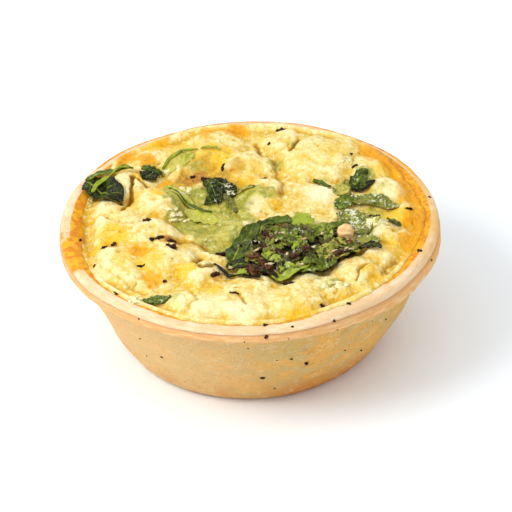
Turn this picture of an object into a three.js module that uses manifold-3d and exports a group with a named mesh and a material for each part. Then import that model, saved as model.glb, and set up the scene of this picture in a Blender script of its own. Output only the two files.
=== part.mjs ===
// A small spinach quiche: a hand-pressed shortcrust case with a rolled lip, filled to the
// brim with lumpy baked egg and cheese, with wilted spinach lying on it and sunk into it.
// Sizes are in millimetres, +Z is up and the origin is the middle of the flat underside.
// The front of the quiche faces -Y.
import * as THREE from "three";
import { mergeVertices } from "three/addons/utils/BufferGeometryUtils.js";
import Module from "manifold-3d";

const wasm = await Module();
wasm.setup();

// The pastry case
const RIM_RADIUS = 54;
const RIM_TOP = 37;
const GROOVE_HEIGHT = 35.3;
const LIP_UNDERSIDE = 32.6;
const LIP_DROOP = 2.6;
const LIP_TOP_WIDTH = 3.1;
const WALL_TOP_RADIUS = 50.2;
const WALL_BEND = { radius: 41.8, height: 8.1 };
const FOOT_RADIUS = 32.6;
const FOOT_ROUND = 4.2;
const FOOT_HEIGHT = 2.7;
const FLOOR_THICKNESS = 4.4;
const SHOULDER_RADIUS = 47;
const DENT_DEPTH = 0.5;
const WALL_BELLY = 1.2;
const CASE_MESH_STEP = 5;

// The egg filling
const GAP = 0.4;
const FILL_LEVEL = 36.1;
const FILL_EDGE_RADIUS = 47.5;
const EDGE_REACH = { back: 3.9, front: 2.9, right: 1.7 };
const FILL_EDGE_THICKNESS = 0.6;
const EDGE_SLOPE_WIDTH = 5;
const FILL_RINGS = 24;
const EDGE_MESH_STEP = 3.75;
const LUMP_WANDER = 1.5;
const LUMP_RISE = 1;
const LUMP_SPREAD = 0.95;

// The spinach
const LEAF_THICKNESS = 0.75;
const LEAF_LIFT = 0.95;
// The toppings below are listed as if the photo were level and looked down at LAYOUT_ELEVATION.
// It leans by PHOTO_ROLL and looks down at PHOTO_ELEVATION, so the whole layout lies a little
// slanted on the quiche. settled() turns a listed place into the real one.
const LAYOUT_ELEVATION = 33.5;
const PHOTO_ELEVATION = 34.3;
const PHOTO_ROLL = 1.9;
const LAYOUT_SHIFT = { x: 0.33, y: -1.15 };
const BUNCH = { x: 13.5, y: -16.2, length: 40, width: 26.6, heading: 5.5, height: 1.7 };

const TURN = 2 * Math.PI;
const GOLDEN_ANGLE = Math.PI * (3 - Math.sqrt(5));
const { degToRad, radToDeg, lerp, smoothstep } = THREE.MathUtils;

// The large lumps of the baked top, as [x, y, radius, height], from the left round to the right.
const LUMPS = [
  [-37.5, 1.4, 11, 2.6],
  [-42.6, 9, 6, 2.2],
  [-35, 19.6, 7.5, 3.6],
  [-26.6, 10.2, 8, 4.4],
  [-29, -4.5, 9, 3.2],
  [-37.5, -20.5, 11, 2.6],
  [-24, -17.4, 9, 3.3],
  [-13, -25.6, 7.8, 4.2],
  [-14.2, -41, 10, 2.7],
  [-3.5, -39.5, 13, 3.3],
  [1, -32.6, 8.5, 3.5],
  [11.8, -39.6, 11, 3.1],
  [15, -32.8, 7.5, 3],
  [23, -32, 6.5, 2.4],
  [30.6, -25, 8.4, 3.9],
  [35, -31, 7, 2.3],
  [36.5, -15.6, 6.5, 2.7],
  [44.5, -8, 8, 2.2],
  [37.2, -3.6, 5.2, 3.3],
  [46, 7, 6, 1.9],
  [40.3, 17, 7.4, 3.1],
  [34, 29, 8, 2.6],
  [20, 34, 13.5, 3.5],
  [27, 41, 8, 2.2],
  [10.5, 43.5, 8, 2.4],
  [-1.4, 31, 8.6, 3.2],
  [4, 17, 8, 3],
  [16.5, 16, 9.5, 1.7],
  [-10.8, 42, 10, 2.6],
  [-20, 35, 8, 2.2],
  [-30, 34.5, 9, 2.1],
  [-3.6, -0.6, 6.4, 2],
];

// The hollows between the lumps, where the egg sank, as [x, y, radius, depth].
const HOLLOWS = [
  [-13, 6, 12.5, 1.5],
  [-7, -8.5, 8, 1.2],
  [16, 14, 9, 0.8],
];

// The separate spinach leaves. x, y is a leaf's middle, heading is where its tip points, fold
// lifts its two halves into a V, and ruffle is how far its edges wave.
const LEAVES = {
  spinach_leaf_rim: {
    x: -40.6, y: 18, length: 17, width: 12.5, heading: 214, fold: 0.22, ruffle: 0.7, curl: 0.02,
  },
  spinach_leaf_back: {
    x: -27.4, y: 24.6, length: 9.5, width: 6.2, heading: -8, fold: 0.25, ruffle: 0.5, curl: 0.02,
  },
  spinach_leaf_pale: {
    x: -20.6, y: 29.6, length: 13.5, width: 7, heading: 28, fold: 0.1, ruffle: 0.4, curl: 0,
  },
  spinach_leaf_sunk: {
    x: -16.4, y: 11.4, length: 23, width: 11, heading: -42, fold: 0.12, ruffle: 0.5, curl: 0,
  },
  spinach_leaf_right: {
    x: 30.2, y: 20.6, length: 9, width: 6.4, heading: 58, fold: 0.2, ruffle: 0.5, curl: 0.02,
  },
  spinach_leaf_strip: {
    x: 32.6, y: 11.4, length: 18, width: 6.6, heading: -4, fold: 0.15, ruffle: 0.5, curl: 0,
  },
  spinach_leaf_front: {
    x: -26.6, y: -37, length: 12, width: 4.4, heading: -8, fold: 0.1, ruffle: 0.4, curl: 0,
  },
  spinach_tuft: {
    x: -9.4, y: 18.6, length: 9, width: 8, heading: 104, fold: 0.35, ruffle: 0.9, curl: 0.02,
  },
  spinach_leaf_frosted: {
    x: 33, y: 1.8, length: 11, width: 8, heading: 112, fold: 0.15, ruffle: 0.8, curl: 0,
  },
  spinach_shred: {
    x: 42.4, y: -2.6, length: 4.4, width: 3.2, heading: 140, fold: 0.2, ruffle: 0.2, curl: 0,
  },
};

// The leaves that make the outline of the bunch, laid on its core with their middles off its centre.
const BUNCH_LEAVES = [
  { x: -13.5, y: 3.6, length: 17, width: 11, heading: 68 },
  { x: -15.4, y: -5, length: 12, width: 8, heading: 172 },
  { x: -5.6, y: 10, length: 12, width: 8, heading: 20 },
  { x: 3, y: 12.6, length: 8.4, width: 7.4, heading: 98 },
  { x: 9.4, y: 10.6, length: 11, width: 8.6, heading: 62 },
  { x: 15.6, y: 9.4, length: 12, width: 9, heading: 30 },
  { x: 17.8, y: 0.4, length: 13, width: 6, heading: -12 },
  { x: 10.8, y: -5, length: 13, width: 7.4, heading: -24 },
  { x: 4.6, y: -11.4, length: 15, width: 7.6, heading: 12 },
  { x: -8, y: -11.4, length: 14, width: 6.6, heading: -26 },
];
const BUNCH_SCRAPS = 7;

const CURD = { x: 27, y: -8.6, radius: 2.35 };

// Clusters of white cheese crumbs, and the charred flecks, fused to the filling's top.
const CRUMB_CLUSTERS = [
  { x: 22.4, y: -31.2, spread: 3.4, count: 6 },
  { x: -20.6, y: 6, spread: 2.6, count: 4 },
  { x: -17.5, y: 20.5, spread: 2.4, count: 3 },
];
const CRUMB_RADIUS = 0.95;
const FLECKS = [
  [-38.6, -12.8], [-40.6, -15.4], [-28, -6.2], [-26, -13.6], [-22.6, -14], [-22, -19.4],
  [-10.2, -13.2], [-11.6, -31], [-5, -37], [3.8, -35.6], [21, 19.4], [-15, 24.6],
];
const FLECK_SIZE = [1.25, 0.7, 0.45];

// A listed direction across the top, leaned and deepened as the photo shows it.
function slanted([x, y]) {
  const layoutSine = Math.sin(degToRad(LAYOUT_ELEVATION));
  const photoSine = Math.sin(degToRad(PHOTO_ELEVATION));
  const lean = Math.tan(degToRad(PHOTO_ROLL));
  return [x + lean * layoutSine * y, (layoutSine * y - lean * x) / photoSine];
}

// A listed row with its place, the first two numbers, moved to where it lies on the quiche.
function settled([x, y, ...rest]) {
  const [across, forward] = slanted([x, y]);
  return [across + LAYOUT_SHIFT.x, forward + LAYOUT_SHIFT.y, ...rest];
}

function slantedHeading(heading) {
  const [x, y] = slanted([Math.cos(degToRad(heading)), Math.sin(degToRad(heading))]);
  return radToDeg(Math.atan2(y, x));
}
const SETTLED_LUMPS = LUMPS.map(settled);
const SETTLED_HOLLOWS = HOLLOWS.map(settled);

// A repeatable number from 0 to 1 for each index and channel.
function chance(index, channel) {
  const wild = Math.sin(index * 12.9898 + channel * 78.233) * 43758.5453;
  return wild - Math.floor(wild);
}

// Four crossed waves make a smooth, uneven pattern between -1 and 1.
function ripple(x, y, wavelength, seed) {
  let sum = 0;
  for (let wave = 0; wave < 4; wave++) {
    const heading = seed + wave * GOLDEN_ANGLE;
    const along = x * Math.cos(heading) + y * Math.sin(heading);
    sum += Math.sin((TURN * along) / (wavelength * (1 - 0.13 * wave)) + seed * (wave + 1) * 1.7);
  }
  return sum / 4;
}

// How far the hand-pressed case is out of round, and how its rim rises and falls.
function roundness(angle) {
  return 1 + 0.006 * Math.sin(2 * angle + 0.5) + 0.003 * Math.sin(5 * angle + 2) +
    0.0016 * Math.sin(9 * angle + 1);
}
function rimRise(radius, angle) {
  const wave = 0.35 * Math.sin(2 * angle + 2.4) + 0.22 * Math.sin(5 * angle) +
    0.12 * Math.sin(11 * angle + 1);
  return wave * (radius / RIM_RADIUS) ** 4;
}

// The case's section, from the middle of its underside out, over the lip and back to the floor.
function outerSection() {
  return new THREE.Path()
    .moveTo(0, 0)
    .lineTo(FOOT_RADIUS, 0)
    .quadraticCurveTo(FOOT_RADIUS + 0.7 * FOOT_ROUND, 0.2, FOOT_RADIUS + FOOT_ROUND, FOOT_HEIGHT)
    .quadraticCurveTo(WALL_BEND.radius, WALL_BEND.height, WALL_TOP_RADIUS, LIP_UNDERSIDE - 1)
    .quadraticCurveTo(WALL_TOP_RADIUS + 0.6, LIP_UNDERSIDE, RIM_RADIUS - 1.2, LIP_UNDERSIDE + 0.1)
    .quadraticCurveTo(RIM_RADIUS, LIP_UNDERSIDE + 0.3, RIM_RADIUS, LIP_UNDERSIDE + 1.2)
    .quadraticCurveTo(RIM_RADIUS, GROOVE_HEIGHT - 0.1, RIM_RADIUS - 0.7, GROOVE_HEIGHT)
    .quadraticCurveTo(RIM_RADIUS - 0.2, GROOVE_HEIGHT + 0.5, RIM_RADIUS - 0.8, RIM_TOP - 0.5)
    .quadraticCurveTo(RIM_RADIUS - 1.4, RIM_TOP, RIM_RADIUS - LIP_TOP_WIDTH, RIM_TOP);
}
function innerSection() {
  return new THREE.Path()
    .moveTo(RIM_RADIUS - LIP_TOP_WIDTH, RIM_TOP)
    .quadraticCurveTo(SHOULDER_RADIUS + 1.4, RIM_TOP - 0.2, SHOULDER_RADIUS, RIM_TOP - 2.4)
    .quadraticCurveTo(SHOULDER_RADIUS - 1.2, RIM_TOP - 4.4, SHOULDER_RADIUS - 2.4, RIM_TOP - 7.4)
    .lineTo(FOOT_RADIUS + 3.4, FLOOR_THICKNESS + 2.6)
    .quadraticCurveTo(FOOT_RADIUS + 2, FLOOR_THICKNESS, FOOT_RADIUS - 1, FLOOR_THICKNESS)
    .lineTo(0, FLOOR_THICKNESS);
}
const outerPoints = outerSection().getPoints(2);
const innerPoints = innerSection().getPoints(2);
const floorToRim = [...innerPoints].reverse();

// The height of the case's upper surface at a radius, before its unevenness.
function caseHeight(radius) {
  const lipTop = outerPoints.filter((p) => p.y > RIM_TOP - 0.6).reverse();
  const surface = [...floorToRim, ...lipTop];
  let n = 1;
  while (n < surface.length - 1 && surface[n].x < radius) n += 1;
  const [a, b] = [surface[n - 1], surface[n]];
  return lerp(a.y, b.y, (radius - a.x) / (b.x - a.x));
}

// The surface that the filling rests on, a gap above the case.
function bedHeight(radius) {
  const step = 0.25;
  const slope = (caseHeight(radius + step) - caseHeight(Math.max(radius - step, 0))) / (2 * step);
  return caseHeight(radius) + GAP * Math.hypot(1, slope);
}

function caseTop(x, y) {
  const angle = Math.atan2(y, x);
  const radius = Math.hypot(x, y) / roundness(angle);
  return caseHeight(radius) + rimRise(radius, angle);
}

// The lip hangs lower at the right. The wall has shallow dents, and its belly is fuller at the
// right than at the left.
function casePoint(radius, height, angle, isOutside) {
  const intoLip = smoothstep(height, LIP_UNDERSIDE - 9, LIP_UNDERSIDE);
  const overLip = 1 - smoothstep(height, LIP_UNDERSIDE + 1, RIM_TOP);
  const atRight = smoothstep(Math.cos(angle + 0.15), 0.25, 1);
  const droop = isOutside ? LIP_DROOP * intoLip * overLip * atRight : 0;
  const onWall = smoothstep(height, 1, 8) * (1 - smoothstep(height, LIP_UNDERSIDE - 6, RIM_TOP));
  const dent = isOutside ? DENT_DEPTH * onWall * ripple(angle * WALL_TOP_RADIUS, height, 26, 3) : 0;
  const share = isOutside ? Math.min(height / LIP_UNDERSIDE, 1) : 0;
  const belly = WALL_BELLY * Math.cos(angle) * Math.sin(Math.PI * share);
  const reach = radius * roundness(angle) + dent + belly;
  const rise = rimRise(radius, angle) * smoothstep(height, 0, 12);
  return new THREE.Vector3(reach * Math.cos(angle), reach * Math.sin(angle), height + rise - droop);
}

// A ring of points round the axis. A ring of one point closes the solid on the axis.
function ring(count, pointAt) {
  return Array.from({ length: count }, (_, k) => pointAt((TURN * k) / count));
}
function ringCount(radius, step) {
  return radius < 0.01 ? 1 : Math.max(12, Math.round((TURN * radius) / step));
}

// Joins rings into one closed skin, each ring to the next, whatever their counts.
function solidFromRings(rings) {
  const positions = [];
  const index = [];
  const starts = rings.map((points) => {
    const start = positions.length / 3;
    points.forEach((p) => positions.push(p.x, p.y, p.z));
    return start;
  });
  for (let n = 0; n + 1 < rings.length; n++) {
    const low = rings[n].length;
    const high = rings[n + 1].length;
    let i = 0;
    let j = 0;
    while ((low > 1 && i < low) || (high > 1 && j < high)) {
      const a = starts[n] + (i % low);
      const b = starts[n + 1] + (j % high);
      const nextLow = low > 1 && i < low ? (i + 1) / low : Infinity;
      const nextHigh = high > 1 && j < high ? (j + 1) / high : Infinity;
      if (nextLow <= nextHigh) {
        i += 1;
        index.push(a, starts[n] + (i % low), b);
      } else {
        j += 1;
        index.push(a, starts[n + 1] + (j % high), b);
      }
    }
  }
  return geometryFrom(positions, index);
}

function geometryFrom(positions, index) {
  const geometry = new THREE.BufferGeometry();
  geometry.setAttribute("position", new THREE.Float32BufferAttribute(positions, 3));
  geometry.setIndex([...index]);
  geometry.computeVertexNormals();
  return geometry;
}

function toSolid(geometry) {
  return new wasm.Manifold(
    new wasm.Mesh({
      numProp: 3,
      vertProperties: new Float32Array(geometry.getAttribute("position").array),
      triVerts: new Uint32Array(geometry.getIndex().array),
    }),
  );
}
function toGeometry(solid) {
  const mesh = solid.getMesh();
  return geometryFrom(Array.from(mesh.vertProperties), Array.from(mesh.triVerts));
}

// The largest piece that a cut leaves, without its loose scraps.
function largestPiece(solid) {
  const pieces = solid.decompose();
  return pieces.reduce((best, piece) => (piece.volume() > best.volume() ? piece : best));
}

function pastryCase(raise = 0) {
  const rings = [...outerPoints, ...innerPoints.slice(1)].map((p, n) =>
    ring(ringCount(p.x, CASE_MESH_STEP), (angle) => {
      const point = casePoint(p.x, p.y, angle, n < outerPoints.length);
      return point.setZ(point.z + (p.y > LIP_UNDERSIDE ? raise : 0));
    }),
  );
  return solidFromRings(rings);
}

// Small knobs between the large lumps, spread evenly by a sunflower rule.
const KNOB_COUNT = 90;
const KNOBS = Array.from({ length: KNOB_COUNT }, (_, k) => {
  const radius = 48 * Math.sqrt((k + 0.5) / KNOB_COUNT);
  const angle = k * GOLDEN_ANGLE + 0.8 * chance(k, 1);
  return [
    radius * Math.cos(angle),
    radius * Math.sin(angle),
    2.2 + 2.4 * chance(k, 2),
    0.5 + 0.8 * chance(k, 3),
  ];
});

// The highest of several rounded lumps at a point, so that a crease stays where two of them meet.
function highest(lumps, x, y) {
  let height = 0;
  for (const [cx, cy, radius, top] of lumps) {
    const distance = Math.hypot(x - cx, y - cy) / (radius * LUMP_SPREAD);
    if (distance < 1) height = Math.max(height, top * (1 - distance ** 3));
  }
  return height;
}

// The egg stops on the rim's inner slope at the left and in front, and has spilled over the rim at the back.
function fillEdge(angle) {
  const spill = EDGE_REACH.back * smoothstep(Math.cos(angle - degToRad(86)), 0.3, 0.72);
  const front = EDGE_REACH.front * smoothstep(Math.cos(angle + degToRad(90)), 0, 0.85);
  const right = EDGE_REACH.right * smoothstep(Math.cos(angle), 0.2, 0.9);
  const wander = 0.4 * Math.sin(7 * angle + 1) + 0.25 * Math.sin(13 * angle + 2);
  return FILL_EDGE_RADIUS + Math.max(spill, front, right) + wander;
}

function fillTop(x, y) {
  const wanderX = x + LUMP_WANDER * ripple(x, y, 15, 2.1);
  const wanderY = y + LUMP_WANDER * ripple(x, y, 15, 5.3);
  const lump = LUMP_RISE * highest(SETTLED_LUMPS, wanderX, wanderY);
  const knob = highest(KNOBS, wanderX, wanderY);
  const rough = 0.22 * ripple(x, y, 7, 1.3);
  const hollow = highest(SETTLED_HOLLOWS, wanderX, wanderY);
  const open = FILL_LEVEL + lump + 0.7 * knob + rough - hollow;
  const angle = Math.atan2(y, x);
  const radius = Math.hypot(x, y) / roundness(angle);
  const edge = fillEdge(angle);
  const lowest = bedHeight(Math.min(radius, edge)) + rimRise(radius, angle) + FILL_EDGE_THICKNESS;
  const inward = 1 - smoothstep(radius, edge - EDGE_SLOPE_WIDTH, edge);
  return Math.max(lerp(lowest, open, Math.sqrt(inward)), lowest);
}

function eggFilling(raise = 0) {
  const bedRadii = floorToRim.map((p) => p.x).filter((radius) => radius < SHOULDER_RADIUS - 2);
  const underside = bedRadii.map((radius) =>
    ring(ringCount(radius, CASE_MESH_STEP), (angle) => bedPoint(radius, angle)),
  );
  const lastRadius = bedRadii.at(-1);
  const overLip = [0.25, 0.5, 0.75, 1].map((share) =>
    ring(ringCount(SHOULDER_RADIUS, EDGE_MESH_STEP), (angle) =>
      bedPoint(lerp(lastRadius, fillEdge(angle), share), angle),
    ),
  );
  const top = Array.from({ length: FILL_RINGS + 1 }, (_, n) => {
    const share = 1 - n / FILL_RINGS;
    return ring(Math.max(1, 6 * (FILL_RINGS - n)), (angle) => {
      const reach = fillEdge(angle) * roundness(angle) * share;
      const x = reach * Math.cos(angle);
      const y = reach * Math.sin(angle);
      return new THREE.Vector3(x, y, fillTop(x, y) + raise);
    });
  });
  return solidFromRings([...underside, ...overLip, ...top]);
}
function bedPoint(radius, angle) {
  const reach = radius * roundness(angle);
  const height = bedHeight(radius) + rimRise(radius, angle);
  return new THREE.Vector3(reach * Math.cos(angle), reach * Math.sin(angle), height);
}

// What a leaf lies on: the egg, or the pastry where the egg ends.
function foodTop(x, y) {
  const angle = Math.atan2(y, x);
  const isEgg = Math.hypot(x, y) < fillEdge(angle) * roundness(angle);
  return isEgg ? fillTop(x, y) : caseTop(x, y);
}

// Five nearby heights give a leaf a ground without the creases that it bridges.
function bridgedGround(x, y) {
  const reach = 1.2;
  const around = [[0, 0], [reach, 0], [-reach, 0], [0, reach], [0, -reach]];
  return Math.max(...around.map(([dx, dy]) => foodTop(x + dx, y + dy)));
}

// A leaf's surface, as a point for s from stalk to tip and t from one edge to the other.
function leafSurface(leaf, ground, seed) {
  const heading = degToRad(leaf.heading);
  const { fold = 0.2, ruffle = 0.6, curl = 0.02, roll = 0, pitch = 0, lift = LEAF_LIFT } = leaf;
  return (s, t) => {
    const halfWidth = (leaf.width / 2) * (0.14 + 0.86 * Math.sin(Math.PI * s ** 0.85) ** 0.6);
    const along = (s - 0.5) * leaf.length;
    const across = t * halfWidth * (1 + 0.1 * Math.sin(9 * s + seed));
    const x = leaf.x + along * Math.cos(heading) - across * Math.sin(heading);
    const y = leaf.y + along * Math.sin(heading) + across * Math.cos(heading);
    const wave = ruffle * Math.abs(t) * (0.5 + 0.5 * Math.sin(11 * s + 2.2 * Math.sign(t) + seed));
    const shape = fold * Math.abs(across) + curl * along * along + roll * across + pitch * along;
    return new THREE.Vector3(x, y, ground(x, y) + lift + wave + shape);
  };
}

// A thin closed sheet over a surface, with both faces split into triangles alike.
function sheetSolid(rows, columns, surface) {
  const positions = [];
  for (const side of [-0.5, 0.5]) {
    for (let r = 0; r <= rows; r++) {
      for (let c = 0; c <= columns; c++) {
        const p = surface(r / rows, (2 * c) / columns - 1);
        positions.push(p.x, p.y, p.z + side * LEAF_THICKNESS);
      }
    }
  }
  const face = (rows + 1) * (columns + 1);
  const at = (r, c, side) => side * face + r * (columns + 1) + c;
  const index = [];
  const quad = (a, b, c, d) => index.push(a, b, c, a, c, d);
  for (let r = 0; r < rows; r++) {
    for (let c = 0; c < columns; c++) {
      quad(at(r, c, 1), at(r + 1, c, 1), at(r + 1, c + 1, 1), at(r, c + 1, 1));
      index.push(at(r, c, 0), at(r + 1, c + 1, 0), at(r + 1, c, 0));
      index.push(at(r, c, 0), at(r, c + 1, 0), at(r + 1, c + 1, 0));
    }
    quad(at(r, 0, 0), at(r + 1, 0, 0), at(r + 1, 0, 1), at(r, 0, 1));
    quad(at(r + 1, columns, 0), at(r, columns, 0), at(r, columns, 1), at(r + 1, columns, 1));
  }
  for (let c = 0; c < columns; c++) {
    quad(at(0, c + 1, 0), at(0, c, 0), at(0, c, 1), at(0, c + 1, 1));
    quad(at(rows, c, 0), at(rows, c + 1, 0), at(rows, c + 1, 1), at(rows, c, 1));
  }
  return toSolid(geometryFrom(positions, index));
}

// The bunch's core is a low mound over an uneven oval.
function inBunch(x, y) {
  const heading = degToRad(BUNCH.heading);
  const along = (x * Math.cos(heading) + y * Math.sin(heading)) / (BUNCH.length / 2);
  const across = (y * Math.cos(heading) - x * Math.sin(heading)) / (BUNCH.width / 2);
  return Math.hypot(along, across);
}
function bunchGround(x, y) {
  const out = Math.min(1, inBunch(x - BUNCH.x, y - BUNCH.y));
  return bridgedGround(x, y) + BUNCH.height * (1 - out * out);
}
function bunchCore() {
  const heading = degToRad(BUNCH.heading);
  const shares = [0, 0.5, 0.85, 0.97, 0.9, 0.7, 0.45, 0.2, 0];
  const rings = shares.map((share, n) =>
    ring(share === 0 ? 1 : 28, (angle) => {
      const uneven = 0.86 + 0.05 * Math.sin(3 * angle + 1) + 0.04 * Math.sin(7 * angle);
      const along = uneven * share * (BUNCH.length / 2) * Math.cos(angle);
      const across = uneven * share * (BUNCH.width / 2) * Math.sin(angle);
      const x = BUNCH.x + along * Math.cos(heading) - across * Math.sin(heading);
      const y = BUNCH.y + along * Math.sin(heading) + across * Math.cos(heading);
      const isTop = n > 3;
      const crumple = 0.4 * ripple(x, y, 5, 6);
      const height = isTop ? bunchGround(x, y) + 0.9 + crumple : FILL_LEVEL - 1;
      return new THREE.Vector3(x, y, height);
    }),
  );
  return toSolid(solidFromRings(rings));
}

// A leaf of the bunch is listed from the bunch's middle, so its offset is slanted but not shifted.
function inBunchPlace(leaf) {
  const [across, forward] = slanted([leaf.x, leaf.y]);
  return { x: BUNCH.x + across, y: BUNCH.y + forward, heading: slantedHeading(leaf.heading) };
}

// The bunch is its core with the large leaves and many crumpled scraps fused on.
function spinachBunch() {
  const large = BUNCH_LEAVES.map((leaf, n) => ({
    ...leaf,
    ...inBunchPlace(leaf),
    roll: 0.24 * (chance(n, 4) - 0.5),
    pitch: 0.2 * (chance(n, 5) - 0.4),
    lift: 0.9 + 0.5 * chance(n, 6),
  }));
  const scraps = Array.from({ length: BUNCH_SCRAPS }, (_, n) => {
    const share = 0.72 * Math.sqrt((n + 0.5) / BUNCH_SCRAPS);
    const angle = n * GOLDEN_ANGLE;
    return {
      x: BUNCH.x + (share * BUNCH.length * Math.cos(angle)) / 2,
      y: BUNCH.y + (share * BUNCH.width * Math.sin(angle)) / 2,
      length: 6 + 3 * chance(n, 7),
      width: 4 + 2 * chance(n, 8),
      heading: 360 * chance(n, 9),
      fold: 0.5 * chance(n, 10),
      roll: 0.7 * (chance(n, 11) - 0.5),
      pitch: 0.5 * (chance(n, 12) - 0.5),
      lift: 1.4 + 0.8 * chance(n, 13),
    };
  });
  return [...large, ...scraps].reduce(
    (bunch, leaf, n) => {
      const [rows, columns] = n < large.length ? [5, 4] : [3, 2];
      return bunch.add(sheetSolid(rows, columns, leafSurface(leaf, bunchGround, n)));
    },
    bunchCore(),
  );
}

// A rounded bit, as wide, deep and high as its size says, with more faces for a higher detail.
function pebble(x, y, z, size, heading, detail = 0) {
  const geometry = new THREE.IcosahedronGeometry(1, detail);
  geometry.deleteAttribute("normal");
  geometry.deleteAttribute("uv");
  geometry.scale(...size);
  geometry.rotateZ(heading);
  geometry.translate(x, y, z);
  return toSolid(mergeVertices(geometry));
}

function fleckSolids() {
  return FLECKS.map(settled).map(([x, y], n) =>
    pebble(x, y, fillTop(x, y) + 0.1, FLECK_SIZE, TURN * chance(n, 20)),
  );
}
function crumbSolids() {
  return CRUMB_CLUSTERS.flatMap(({ x, y, spread, count }, cluster) =>
    Array.from({ length: count }, (_, n) => {
      const [middleX, middleY] = settled([x, y]);
      const angle = n * GOLDEN_ANGLE + cluster;
      const reach = spread * Math.sqrt(n / count);
      const cx = middleX + reach * Math.cos(angle);
      const cy = middleY + 0.7 * reach * Math.sin(angle);
      const size = CRUMB_RADIUS * (0.8 + 0.5 * chance(n, 21 + cluster));
      return pebble(cx, cy, fillTop(cx, cy) + 0.2, [size * 1.2, size, size * 0.8], angle);
    }),
  );
}

function finish(color, roughness) {
  return new THREE.MeshStandardMaterial({ color, roughness, metalness: 0 });
}
const PASTRY = finish(0xe9bd80, 0.65);
const EGG = finish(0xf6d96b, 0.5);
const SPINACH = finish(0x3d5f1e, 0.4);
const PALE_SPINACH = finish(0xa9b53c, 0.4);
const CHEESE = finish(0xe8b070, 0.6);

const quiche = new THREE.Group();
function place(name, geometry, material) {
  const mesh = new THREE.Mesh(geometry, material);
  mesh.name = name;
  quiche.add(mesh);
}

const raisedEgg = toSolid(eggFilling(GAP));
const raisedCase = toSolid(pastryCase(GAP));
const clearOfFood = (solid) => largestPiece(solid.subtract(raisedEgg).subtract(raisedCase));

place("pastry_case", pastryCase(), PASTRY);

const toppedEgg = [...fleckSolids(), ...crumbSolids()].reduce(
  (egg, bit) => egg.add(bit),
  toSolid(eggFilling()),
);
const [curdX, curdY] = settled([CURD.x, CURD.y]);
const curdHeight = bunchGround(curdX, curdY) + LEAF_LIFT + CURD.radius;
const curdOf = (radius) => pebble(curdX, curdY, curdHeight, [radius, radius, radius], 0, 1);
const bunch = clearOfFood(spinachBunch()).subtract(curdOf(CURD.radius + GAP));
place("spinach_bunch", toGeometry(largestPiece(bunch)), SPINACH);
place("cheese_curd", toGeometry(curdOf(CURD.radius)), CHEESE);

let leafSeed = 0;
let taken = bunch;
for (const [name, listed] of Object.entries(LEAVES)) {
  const [x, y] = settled([listed.x, listed.y]);
  const leaf = { ...listed, x, y, heading: slantedHeading(listed.heading) };
  const sheet = sheetSolid(8, 4, leafSurface(leaf, bridgedGround, leafSeed));
  const room = taken.add(taken.translate([0, 0, GAP]));
  const piece = largestPiece(clearOfFood(sheet).subtract(room));
  place(name, toGeometry(piece), leaf.fold <= 0.12 ? PALE_SPINACH : SPINACH);
  taken = taken.add(piece);
  leafSeed += 1;
}
place("egg_filling", toGeometry(toppedEgg), EGG);

export default quiche;
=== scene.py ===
# %% [markdown]
# # A small spinach quiche
# The quiche is a deep case of shortcrust pastry with a rolled lip, filled to the brim with egg and
# cheese that baked into soft lumps. Wilted spinach lies on the egg, and some of it is sunk into it.
# The measured solids come first, as a frame. Every piece that is modelled here takes the place of
# one of them and keeps its form. Sizes below are in millimetres unless a line says otherwise.

# %% The measured frame
import math

import bpy
import numpy as np
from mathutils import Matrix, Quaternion, Vector


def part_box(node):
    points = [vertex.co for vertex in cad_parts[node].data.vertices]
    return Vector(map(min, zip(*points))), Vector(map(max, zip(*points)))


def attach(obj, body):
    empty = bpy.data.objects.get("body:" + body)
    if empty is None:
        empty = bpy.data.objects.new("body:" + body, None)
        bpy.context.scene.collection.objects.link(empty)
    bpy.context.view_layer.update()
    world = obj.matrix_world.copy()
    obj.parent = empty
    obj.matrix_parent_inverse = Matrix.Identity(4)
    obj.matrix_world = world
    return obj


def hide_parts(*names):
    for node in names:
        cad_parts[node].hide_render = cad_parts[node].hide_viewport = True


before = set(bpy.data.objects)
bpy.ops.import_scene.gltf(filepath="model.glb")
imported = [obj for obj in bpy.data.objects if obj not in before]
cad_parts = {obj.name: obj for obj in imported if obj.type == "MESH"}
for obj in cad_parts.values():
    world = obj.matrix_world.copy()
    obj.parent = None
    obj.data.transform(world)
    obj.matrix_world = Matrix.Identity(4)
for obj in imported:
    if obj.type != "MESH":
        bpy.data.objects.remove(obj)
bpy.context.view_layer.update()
MM = 0.001
print("solids in the frame:", len(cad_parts))

# %% [markdown]
# ## Camera
# The quiche is seen from the front and from about 34 degrees above, with the camera held a little
# askew. A very long lens from far off keeps the rim's ellipse as round as it looks on the table.
# The lens follows from how much of the picture the rim fills, so no focal length has to be guessed.

# %% Camera
PICTURE_WIDTH_PIXELS = 512
RIM_PIXELS = 380
RIM_ACROSS = 108
CAMERA_ELEVATION = math.radians(34.3)
CAMERA_ROLL = math.radians(-1.9)
CAMERA_DISTANCE = 2400
CAMERA_AIM = Vector((1.7, 0, 25.5))

camera_data = bpy.data.cameras.new("camera")
camera = bpy.data.objects.new("camera", camera_data)
bpy.context.scene.collection.objects.link(camera)
bpy.context.scene.camera = camera
towards_camera = Vector((0, -math.cos(CAMERA_ELEVATION), math.sin(CAMERA_ELEVATION)))
camera.location = (CAMERA_AIM + CAMERA_DISTANCE * towards_camera) * MM
upright = towards_camera.to_track_quat("Z", "Y")
camera.rotation_euler = (upright @ Quaternion((0, 0, 1), CAMERA_ROLL)).to_euler()
picture_width = PICTURE_WIDTH_PIXELS * RIM_ACROSS / RIM_PIXELS
camera_data.lens = camera_data.sensor_width * CAMERA_DISTANCE / picture_width
camera_data.clip_start = 0.05
print("lens:", round(camera_data.lens), "mm")

# %% [markdown]
# ## Floor and light
# Food like this is lit as for a menu: a white table, light from all round, and one large soft
# lamp at the left that gives the lumps their form and lays a pale shadow to the right. The plain
# Standard view keeps the whites white.

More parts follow.
